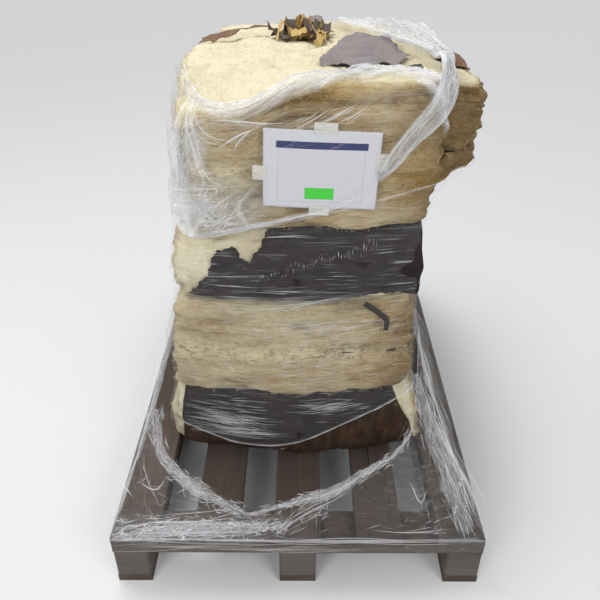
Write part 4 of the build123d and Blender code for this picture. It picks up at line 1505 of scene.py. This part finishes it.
        space = place_at(share[:, None] * 1.1, across * 0.08)
        # The strip's whiteness: its bunched layers, with painted highlights on the crests of its pleats and
        # along its sides
        body = 0.05 + 0.22 * np.exp(-(((across + 0.72) / 0.30) ** 2))
        body = body + 0.20 * np.exp(-(((across - 0.62) / 0.38) ** 2))
        gather = lookup(share, [(0, 0.0), (0.4, 0.05), (0.62, 0.20), (0.75, 0.20), (0.88, 0.08), (1, 0.06)])
        gather = gather[:, None]
        haze = (body[None, :] + gather) * (0.45 + 1.1 * noise(wander * (3, 2.2, 1), 95))
        crest_highlights = 0.42 * smooth_step(0.80, 1.0, np.sin(phase))
        haze = haze + crest_highlights * smooth_step(0.30, 0.60, noise(wander * (2, 2, 1), 96))
        haze = haze + 0.5 * smooth_step(0.955, 1.0, np.abs(across))[None, :]
        cut = FilmCut(204)
        streak = lookup(share, [(0, 0.8), (0.6, 0.8), (0.75, 0.5), (1, 0.4)])[:, None]
        cut.add(net, space, 0.16 + gather, np.clip(haze, 0, 0.9), streak)
        surface = cut.over(net)
        for _ in range(260):
            start, middle = cut.random.uniform(0, 0.93), cut.random.uniform(0.02, 0.98)
            length = cut.random.uniform(0.015, 0.14)
            drift = cut.random.normal(0, 0.035)
            half_way = (start + length / 2, middle + drift / 2)
            line = [(start, middle), half_way, (min(start + length, 1), middle + drift)]
            cut.stray(surface, line, (0.0009, 0.0032), (0.35, 1.0), 0.003)
        for _ in range(110):
            start, middle = cut.random.uniform(0, 0.95), cut.random.uniform(0.05, 0.95)
            slip, reach = cut.random.normal(0, 0.012), cut.random.uniform(0.06, 0.25)
            line = [(start, middle), (start + slip, min(middle + reach, 0.98))]
            cut.stray(surface, line, (0.0008, 0.0018), (0.3, 0.9), 0.003)
        cut.build("film_bunch", ["film_twist"], ["wool_4"])

    def front_skirt(self):
        """The front turns out over the pallet's edge, torn open in a deep valley with rolled hems."""
        lip = 0.104
        count, hem, hem_turn = 260, 50, 0.372
        inner = count - 2 * (hem - 1)
        surface = front_slope(0.0)
        valley = rounded_line(np.array(VALLEY))
        valley = surface(*resample(valley, inner).T)
        corner_left = np.array((-DECK_HALF_WIDTH, -DECK_HALF_LENGTH, DECK_TOP))
        corner_right = np.array((DECK_HALF_WIDTH, -DECK_HALF_LENGTH, DECK_TOP))
        left_hem = resample([corner_left, valley[0]], hem)[:-1]
        right_hem = resample([valley[-1], corner_right], hem)[1:]
        upper = np.concatenate([left_hem, valley, right_hem])
        foot_x = np.concatenate([
            np.linspace(-DECK_HALF_WIDTH, -hem_turn, hem - 1), np.linspace(-hem_turn, hem_turn, inner),
            np.linspace(hem_turn, DECK_HALF_WIDTH, hem - 1),
        ])
        foot = np.stack([foot_x, np.full(count, -DECK_HALF_LENGTH), np.full(count, DECK_TOP)], axis=1)
        rows = [foot - (0, 0, DECK_TOP - lip - extra) for extra in (0, 0.012, 0.026, 0.036)]
        rows += [foot * (1 - share) + upper * share for share in np.linspace(0, 1, 60)]
        net = np.array(rows)
        share = np.concatenate([[-0.06, -0.04, -0.02, -0.01], np.linspace(0, 1, 60)])
        share = share[:, None] + 0 * net[..., 0]
        space = place_at(net[..., 0] + net[..., 2] * 0.3, net[..., 1] + net[..., 2])
        inside = smooth_step(0.0, 0.12, share) * smooth_step(1.0, 0.85, share)
        rumple = 0.010 * swing(net, (9, 9, 9), 101) + 0.007 * ridge(net, (22, 22, 22), 103) ** 2
        rumple += 0.004 * ridge(net, (55, 55, 55), 107) ** 2
        net[..., 2] += rumple * inside
        sag = 0.012 * np.sin(np.pi * np.clip(share, 0, 1))
        net[..., 2] -= sag * smooth_step(0.4, 0.2, np.abs(net[..., 0]))
        net[..., 2] = np.maximum(net[..., 2], np.where(share > 0.02, DECK_TOP + 0.002, 0))
        net[..., 1] = np.maximum(net[..., 1], -DECK_HALF_LENGTH)
        heap = smooth_step(0.02, -0.10, net[..., 0]) * smooth_step(0.205, 0.17, net[..., 2])
        heap = heap * smooth_step(-0.02, 0.02, share)
        crumple = np.clip(0.10 + 0.75 * heap + 0.10 * swing(net, (7, 7, 7), 109), 0, 1)
        # Whiter along the rolled lower and upper edges: the film's own layers with a painted highlight
        line = smooth_step(0.006, 0.0, np.abs(share)) * 0.35 + smooth_step(0.97, 1.0, share) * 0.35
        cut = FilmCut(205)
        cut.add(net, space, crumple, line, 0.15)
        face = front_slope(0.006)
        cut.ruffle(face, ((-0.302, 0.380), *VALLEY[3:9]), 0.028, 301, 190, 0.20, 0.006, 26)
        cut.ruffle(face, VALLEY[8:16], 0.019, 305, 150, 0.20, 0.005, 12)
        right_line = ((0.246, 0.445), (0.284, 0.345), (0.308, 0.290), (0.331, 0.241), (0.360, 0.160))
        cut.ruffle(face, right_line, 0.046, 311, 190, 0.14, 0.005, 9, (0.015, 0.06))
        foot_line = ((-0.392, 0.152), (-0.25, 0.163), (-0.10, 0.168), (-0.02, 0.172))
        cut.ruffle(face, foot_line, 0.026, 315, 260, 0.16, 0.004, 24)
        cut.bundle_all(face, (
            (VALLEY[1:9], 0.002, 0.7, 10, 0.006), (VALLEY[8:17], 0.002, 0.7, 10, 0.004),
            (((-0.398, 0.152), (-0.324, 0.178), (-0.218, 0.177), (-0.118, 0.187)), 0.004, 0.8, 24, 0.008),
            (((-0.396, 0.150), (-0.300, 0.160), (-0.200, 0.158), (-0.058, 0.162)), 0.004, 0.8, 30, 0.008),
            (((-0.058, 0.150), (0.026, 0.199), (0.079, 0.217), (0.115, 0.240)), 0.003, 0.7, 12, 0.008),
            (((-0.337, 0.251), (-0.299, 0.230), (-0.277, 0.257)), 0.003, 0.8, 4, 0.003),
            (((-0.375, 0.251), (-0.347, 0.221)), 0.003, 0.9, 2, 0.003),
            (((-0.388, 0.150), (-0.362, 0.170), (-0.335, 0.172)), 0.003, 0.9, 4, 0.003),
            (((-0.330, 0.300), (-0.318, 0.250), (-0.290, 0.205)), 0.003, 0.5, 5, 0.006),
            (((0.238, 0.250), (0.260, 0.205), (0.274, 0.241)), 0.003, 0.8, 4, 0.004),
            (((0.301, 0.316), (0.312, 0.281), (0.333, 0.241), (0.348, 0.205)), 0.004, 0.8, 10, 0.006),
            (((0.270, 0.400), (0.300, 0.340), (0.330, 0.290), (0.365, 0.241), (0.393, 0.168)),
             0.005, 0.9, 22, 0.007),
            (((0.150, 0.165), (0.240, 0.158), (0.330, 0.168)), 0.003, 0.6, 8, 0.006),
        ))
        cut.scatter_all(face, (
            ((-0.21, 0.170), (0.09, 0.012), 8, 24, (0.008, 0.035), 130, 0.0016, 0.9),
            ((-0.05, 0.175), (0.05, 0.014), 15, 30, (0.008, 0.03), 50, 0.0018, 0.8),
            ((0.03, 0.195), (0.04, 0.018), 40, 35, (0.008, 0.03), 50, 0.0018, 0.8),
            ((0.30, 0.20), (0.06, 0.04), 10, 60, (0.01, 0.03), 26, 0.0018, 0.7),
            ((-0.31, 0.22), (0.05, 0.05), 40, 60, (0.01, 0.035), 20, 0.0018, 0.6),
        ))

        def apron(x, z):
            y = np.full(x.shape, -DECK_HALF_LENGTH - 0.0012)
            return np.stack([np.clip(x, -0.398, 0.398), y, z], axis=-1)

        cut.scatter(apron, (0.0, 0.142), (0.35, 0.0015), 0, 1, (0.10, 0.35), 22, 0.0024, 0.9)
        cut.scatter(apron, (-0.15, 0.122), (0.25, 0.012), 1, 1.5, (0.06, 0.30), 26, 0.0016, 0.6)
        cut.build("film_front_skirt", ["film_skirt_front"],
                  ["deck_board_1", "cross_board_front"])

    def other_skirts(self):
        """The skirts at the two sides and the rear, drawn smooth from the stack to the pallet's edge."""
        head_left, head_right = ((reach, -SKIRT_HEAD, SKIRT_TOP) for reach in (SKIRT_LEFT, SKIRT_RIGHT))
        rear_left, rear_right = ((reach, SKIRT_REAR, SKIRT_TOP) for reach in (SKIRT_LEFT, SKIRT_RIGHT))
        x, y = DECK_HALF_WIDTH, DECK_HALF_LENGTH
        corners = {
            "left": ((-x, -y), (-x, y), head_left, rear_left, (1, 0, -1)),
            "right": ((x, -y), (x, y), head_right, rear_right, (-1, 0, -1)),
            "rear": ((-x, y), (x, y), rear_left, rear_right, (0, -1, -1)),
        }
        for seed, (side, (foot_a, foot_b, head_a, head_b, inward)) in enumerate(corners.items()):
            columns, rows, slope_length, foot_length = 150, 46, 0.42, 1.2
            along = np.linspace(0, 1, columns)[:, None]
            foot = np.array(foot_a) + along * (np.array(foot_b) - np.array(foot_a))
            head = np.array(head_a) + along * (np.array(head_b) - np.array(head_a))
            foot = np.concatenate([foot, np.full((columns, 1), DECK_TOP)], axis=1)
            lip = foot - (0, 0, 0.040 if side == "rear" else 0.020)
            slope = [foot + (head - foot) * share for share in np.linspace(0, 1, rows)]
            net = np.array([lip, (lip + foot) / 2, *slope])
            share = np.concatenate([[-0.05, -0.025], np.linspace(0, 1, rows)])[:, None] + 0 * net[..., 0]
            place = np.clip(share, -0.05, 1) * slope_length
            run = np.linspace(0, foot_length, columns)[None, :] + 0 * place
            space = place_at(run * 0.4 + place, run - place * 0.3)
            inside = smooth_step(0.0, 0.12, share) * smooth_step(1.0, 0.9, share)
            way = np.array(inward) / math.sqrt(2)
            dent = 0.010 * noise(space * (6, 9, 1), 111 + seed)
            dent += 0.008 * ridge(space, (9, 30, 1), 121 + seed) ** 3
            dent += 0.010 * np.sin(np.pi * np.clip(share, 0, 1))
            net = net + way * (dent * inside)[..., None]
            crumple = 0.16 + 0.25 * swing(space, (5, 6, 1), 131 + seed) + 0.3 * smooth_step(0.9, 1.0, share)
            crumple = np.clip(crumple, 0, 1)
            # Whiter along the rolled edges: the film's own layers with a painted highlight
            line = smooth_step(0.008, 0.0, np.abs(share)) * 0.4 + smooth_step(0.97, 1.0, share) * 0.4
            cut = FilmCut(211 + seed)
            cut.add(net, space, crumple, line, 0.5)

            surface = cut.over(net[2:], -way * 0.002)
            first = 0.02 if side != "rear" else 0.5
            for _ in range(90):
                u, v = cut.random.uniform(0.02, 0.8), cut.random.uniform(0.01, 0.97)
                long = cut.random.uniform(0.06, 0.35)
                drift = cut.random.normal(0, 0.03) - first * 0.1 * (v - 0.5)
                line = [(u, v), (u + long / 2, v + drift / 2), (min(u + long, 0.98), v + drift)]
                cut.stray(surface, line, (0.0012, 0.003), (0.25, 0.8))
            if side != "rear":
                for _ in range(36):
                    v = cut.random.uniform(0.0, 0.06)
                    u, long = cut.random.uniform(0.0, 0.6), cut.random.uniform(0.15, 0.5)
                    line = [(u, v), (min(u + long, 0.99), v * 0.7)]
                    cut.stray(surface, line, (0.002, 0.004), (0.4, 0.95))
            flat, area = ((0.80, 0.42), 0.28) if side == "rear" else ((1.20, 0.42), 0.44)
            cut.build(f"film_{side}_skirt", [f"film_skirt_{side}"],
                      [f"cross_board_{'rear' if side == 'rear' else 'middle'}"])


# Sheet, tapes and sticker
class LOAD_OT_sheet(bpy.types.Operator):
    """Builds the blank taped sheet with its printed bar and frame, its tapes and its sticker"""

    bl_idname = "load.sheet"
    bl_label = "Tape Sheet"

    def execute(self, context):
        colours = context.scene.paper_colours
        width, height = 0.210, 0.148
        finish = Finish("Printed Sheet", Roughness=0.7)
        place = finish.place("sheet_place")
        across = finish.node("ShaderNodeSeparateXYZ", {}, {0: place}, 0)
        up = finish.node("ShaderNodeSeparateXYZ", {}, {0: place}, 1)

        def inside(value, low, high, soft=0.0004):
            return value.step(low - soft, low + soft) * (1 - value.step(high - soft, high + soft))

        bar = inside(across, -0.082, 0.082) * inside(up, 0.040, 0.053)
        outer = inside(across, -0.078, 0.078) * inside(up, -0.062, 0.046)
        inner = inside(across, -0.0772, 0.0772) * inside(up, -0.0612, 0.0452)
        fibre = finish.noise(place, (60, 60, 60), 4.0)
        colour = finish.mix(fibre * 0.12, tuple(colours.sheet), (0.62, 0.62, 0.66))
        colour = finish.mix((outer - inner).clamped() * 0.6, colour, (0.25, 0.25, 0.32))
        colour = finish.mix(bar, colour, tuple(colours.bar))
        paper = finish.finish(Base_Color=colour, Normal=finish.bump(fibre, 0.0004, 0.4))

        tilt = math.radians(2)
        centre = np.array((0.042, STACK_FRONT - 0.0135, 0.881))
        along = np.array((math.cos(tilt), 0, -math.sin(tilt)))
        rise = np.array((math.sin(tilt), 0, math.cos(tilt)))

        def on_sheet(name, x0, x1, y0, y1, material, lift, replaced):
            u, v = np.meshgrid(np.linspace(x0, x1, 44), np.linspace(y0, y1, 32))
            flat = place_at(u, v)
            bow = 0.004 * (u / 0.105) ** 2 - 0.0025 * np.cos(v / 0.074 * 1.5)
            bow = bow + 0.0012 * swing(flat, (16, 16, 1), 141)
            curl = -0.004 * smooth_step(0.05, 0.105, u) * smooth_step(0.03, 0.074, v)
            net = centre + u[..., None] * along + v[..., None] * rise
            net[..., 1] += bow + curl - lift
            mesh = make_mesh(name, net, grid_faces(32, 44), {"sheet_place": flat})
            return make_piece(mesh, material, [replaced], thickness=0.0003)

        sheet = on_sheet("taped_sheet", -width / 2, width / 2, -height / 2, height / 2,
                         paper, 0.0, "sign_sheet")

        green = Finish("Green Sticker", Roughness=0.55)
        tone = green.noise(green.place("sheet_place"), (90, 90, 1), 3.0)
        green.finish(Base_Color=green.mix(tone * 0.25, tuple(colours.sticker), (0.03, 0.42, 0.03)))
        on_sheet("green_sticker", -0.028, 0.025, -0.055, -0.033,
                 green.material, 0.0007, "price_sticker")

        clear = Finish("Clear Tape", Roughness=0.25)
        shine = clear.noise(clear.place("sheet_place"), (40, 260, 1), 3.0)
        tone = clear.mix(shine, (0.74, 0.72, 0.66), (0.86, 0.85, 0.80))
        clear.finish(Base_Color=tone, Alpha=(0.36 + shine * 0.42))
        tapes = {
            "top": (-0.016, 0.026, 0.068, 0.088), "bottom": (-0.019, 0.019, -0.088, -0.068),
            "left": (-0.124, -0.098, -0.022, 0.006), "right": (0.098, 0.121, 0.001, 0.035),
        }
        for side, (x0, x1, y0, y1) in tapes.items():
            on_sheet(f"clear_tape_{side}", x0, x1, y0, y1,
                     clear.material, 0.0009, f"tape_{side}")
        return {"FINISHED"}


# Torn paper on the top: the piece, the node it replaces, its paper, the way, start, reach and height of its
# curl, the distance between its points, and its outline
SCRAPS = (
    ("grey_scrap", "grey_flap", "grey", (0.1, 1.0), -0.06, 0.14, 0.018, 0.006,
     ((0.042, -0.165), (0.060, -0.05), (0.10, 0.045), (0.150, 0.075), (0.20, 0.05), (0.215, -0.04),
      (0.225, -0.10), (0.190, -0.165), (0.12, -0.205))),
    ("small_grey_scrap", "small_grey_flap", "grey", (0.2, 1.0), 0.30, 0.12, 0.014, 0.006,
     ((0.028, 0.292), (0.062, 0.315), (0.066, 0.37), (0.060, 0.43), (0.040, 0.450), (0.008, 0.375))),
    ("kraft_scrap", "kraft_flap", "kraft", (1.0, 0.2), 0.29, 0.09, 0.020, 0.006,
     ((0.292, -0.06), (0.285, 0.03), (0.325, 0.07), (0.365, -0.02), (0.345, -0.13), (0.30, -0.12))),
    ("dark_tab_1", "dark_tab_left", "dark", (0, 1), -0.27, 0.05, 0.004, 0.004,
     ((0.072, -0.268), (0.076, -0.246), (0.104, -0.242), (0.100, -0.264))),
    ("dark_tab_2", "dark_tab_right", "dark", (0, 1), -0.22, 0.05, 0.006, 0.004,
     ((0.210, -0.214), (0.210, -0.190), (0.236, -0.188), (0.238, -0.212))),
    ("torn_edge", "torn_edge_strip", "kraft", (0, 1), 0.10, 0.06, 0.016, 0.006,
     ((-0.232, 0.105), (-0.19, 0.125), (-0.15, 0.138), (-0.08, 0.20), (-0.072, 0.22),
      (-0.11, 0.215), (-0.15, 0.165), (-0.20, 0.150), (-0.228, 0.130))),
)
SCRAP_THICKNESS = 0.0008


def curl(direction, start, reach, height):
    """How a scrap's points rise from the wool, more and more along one direction from a start."""
    way = np.array(direction) / np.linalg.norm(direction)

    def rise(plan):
        far = (plan @ way - start) / reach
        lift = height * smooth_step(0, 1, far) ** 1.5
        lift = lift + 0.006 * (0.5 + 0.5 * swing(place_at(*plan.T), (22, 22, 1), 151))
        back = -0.25 * lift
        return np.stack([back * way[0], back * way[1], lift], axis=1)

    return rise


def torn_piece(name, outline, rise, material, replaced, spacing, seed):
    """A flat torn piece of paper with a ragged outline, lifted off the wool by a rise for each point."""
    edge = resample([*outline, outline[0]], int(1.0 / spacing * 0.8))[:-1]
    centre = edge.mean(axis=0)
    edge = edge + (edge - centre) * (0.05 * swing(place_at(*edge.T), (160, 160, 1), seed))[:, None]
    low, high = edge.min(axis=0), edge.max(axis=0)
    xs, ys = np.arange(low[0], high[0], spacing), np.arange(low[1], high[1], spacing * 0.87)
    inner = np.array([(x + (row % 2) * spacing / 2, y) for row, y in enumerate(ys) for x in xs])
    points = np.concatenate([edge, inner])
    ring = [(place, (place + 1) % len(edge)) for place in range(len(edge))]
    made = delaunay_2d_cdt([Vector(p) for p in points], ring, [list(range(len(edge)))], 2, 1e-6)
    plan, faces = np.array([tuple(v) for v in made[0]]), made[2]
    heights = np.array([wool_top(x, y) for x, y in plan])
    net = np.concatenate([plan, (heights + 0.004)[:, None]], axis=1)
    net = net + rise(plan)
    make_piece(make_mesh(name, net, faces), material, [replaced], thickness=SCRAP_THICKNESS)


class LOAD_OT_scraps(bpy.types.Operator):
    """Builds the torn and crumpled papers on the top and the strip on the front"""

    bl_idname = "load.scraps"
    bl_label = "Strew Scraps"

    def paper(self, name, light, dark, roughness=0.85):
        finish = Finish(name, Roughness=roughness)
        place = finish.place()
        mottle = finish.noise(place, (40, 40, 40), 5.0, 0.65)
        speck = finish.noise(place, (260, 260, 260), 2.0).step(0.60, 0.72)
        colour = finish.mix(mottle, light, dark)
        colour = finish.mix(speck * 0.5, colour, tuple(value * 0.45 for value in dark))
        return finish.finish(Base_Color=colour, Normal=finish.bump(mottle, 0.002, 0.8))

    def execute(self, context):
        papers = {
            "grey": self.paper("Grey Paper", (0.30, 0.265, 0.265), (0.17, 0.145, 0.145)),
            "kraft": self.paper("Kraft Paper", (0.24, 0.14, 0.08), (0.10, 0.055, 0.03)),
            "dark": self.paper("Dark Scrap", (0.030, 0.024, 0.022), (0.016, 0.013, 0.012), 0.6),
        }
        for seed, (name, replaced, paper, *bend, spacing, outline) in enumerate(SCRAPS, 1):
            torn_piece(name, outline, curl(*bend), papers[paper], replaced, spacing, seed)
        self.crumple()
        self.strip(papers["dark"])
        return {"FINISHED"}

    def crumple(self):
        """A handful of torn, bent strips of facing with wool on them, in one heap."""
        finish = Finish("Crumpled Scrap", Roughness=0.85)
        tone = finish.level("scrap_tone")
        mottle = finish.noise(finish.place(), (60, 60, 60), 4.0, 0.6)
        colour = finish.mix(tone, (0.66, 0.47, 0.17), (0.13, 0.11, 0.115))
        colour = finish.mix(mottle * 0.5, colour, (0.16, 0.11, 0.05))
        material = finish.finish(Base_Color=colour, Normal=finish.bump(mottle, 0.002, 0.8))
        shuffle = np.random.default_rng(17)
        points, faces, tones, start = [], [], [], 0
        low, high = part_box("crumpled_scrap")
        centre = np.array(((low[0] + high[0]) / 2, (low[1] + high[1]) / 2))
        rows, knot_count, strip_count = 3, 7, 30
        for _ in range(strip_count):
            turn = shuffle.uniform(0, 2 * np.pi)
            length, width = shuffle.uniform(0.035, 0.095), shuffle.uniform(0.010, 0.032)
            spot = centre + shuffle.normal(0, 0.027, 2)
            knots = np.sort(np.linspace(-0.5, 0.5, knot_count) + shuffle.normal(0, 0.03, knot_count))
            u, v = np.meshgrid(knots * length, np.array((-0.5, -0.1, 0.4)) * width)
            v = v * (1 - 1.6 * knots ** 2)[None, :] * shuffle.uniform(0.7, 1.3, u.shape)
            lift = np.abs(shuffle.normal(0.012, 0.016, knot_count))[None, :]
            lift = lift + shuffle.normal(0, 0.8, knot_count)[None, :] * v
            x = np.clip(spot[0] + u * np.cos(turn) - v * np.sin(turn), low[0], high[0])
            y = np.clip(spot[1] + u * np.sin(turn) + v * np.cos(turn), low[1], high[1])
            ground = np.array([wool_top(a, b) for a, b in zip(x.ravel(), y.ravel())]).reshape(x.shape)
            away = np.hypot(x - centre[0], y - centre[1])
            z = ground + 0.003 + np.clip(lift * (1.5 - away / 0.09), 0, 0.048)
            points.append(np.stack([x, y, z], axis=-1).reshape(-1, 3))
            faces.append(grid_faces(rows, knot_count) + start)
            dark = shuffle.uniform() < (0.75 if spot[0] < centre[0] - 0.02 else 0.3)
            tones.append(np.full(rows * knot_count, float(dark)))
            start += rows * knot_count
        marks = {"scrap_tone": np.concatenate(tones)}
        mesh = make_mesh("scrap_heap", np.concatenate(points), np.concatenate(faces), marks)
        mesh.shade_flat()
        make_piece(mesh, material, ["crumpled_scrap"], thickness=SCRAP_THICKNESS)

    def strip(self, material):
        """The bent dark strip on the film at the right front."""
        bends = ((0.138, 0.586), (0.160, 0.570), (0.183, 0.551), (0.189, 0.540), (0.186, 0.518))
        line = resample(rounded_line(bends, 1), 40)
        ahead = unit(np.gradient(line, axis=0))
        side = np.stack([-ahead[:, 1], ahead[:, 0]], axis=1)
        rows = []
        for share in np.linspace(-1, 1, 6):
            plan = line + side * share * 0.0060
            angle = np.arctan2(STACK_FRONT - CENTRE[1], plan[:, 0])
            rows.append(wall_point(angle, plan[:, 1], 0.0075))
        net = np.array(rows)
        mesh = make_mesh("dark_bent_strip", net, grid_faces(*net.shape[:2]))
        make_piece(mesh, material, ["dark_strip"], thickness=SCRAP_THICKNESS)


class LOAD_PT_panel(bpy.types.Panel):
    """Lists the steps that dress the load"""

    bl_label = "Pallet Load"
    bl_idname = "LOAD_PT_panel"
    bl_space_type = "VIEW_3D"
    bl_region_type = "UI"
    bl_category = "Pallet Load"

    def draw(self, context):
        for operator in OPERATORS:
            self.layout.operator(operator.bl_idname)
        for group in GROUPS:
            settings = getattr(context.scene, group)
            for key in settings.__annotations__:
                self.layout.prop(settings, key)


OPERATORS = (
    LOAD_OT_stage, LOAD_OT_pallet, LOAD_OT_batts, LOAD_OT_facings, LOAD_OT_film, LOAD_OT_sheet,
    LOAD_OT_scraps,
)
GROUPS = {
    "batt_sizes": BattSizes, "film_sizes": FilmSizes, "paper_colours": PaperColours,
    "wood_colours": WoodColours, "stage_sizes": StageSizes,
}


def register():
    for group in GROUPS.values():
        bpy.utils.register_class(group)
    for key, group in GROUPS.items():
        setattr(bpy.types.Scene, key, bpy.props.PointerProperty(type=group))
    for operator in OPERATORS:
        bpy.utils.register_class(operator)
    bpy.utils.register_class(LOAD_PT_panel)


def unregister():
    bpy.utils.unregister_class(LOAD_PT_panel)
    for operator in reversed(OPERATORS):
        bpy.utils.unregister_class(operator)
    for key, group in GROUPS.items():
        delattr(bpy.types.Scene, key)
        bpy.utils.unregister_class(group)


def main():
    """Dresses the load step by step."""
    register()
    bpy.ops.load.stage()
    bpy.ops.load.pallet()
    bpy.ops.load.batts()
    bpy.ops.load.facings()
    bpy.ops.load.film()
    bpy.ops.load.sheet()
    bpy.ops.load.scraps()


if __name__ == "__main__":
    main()
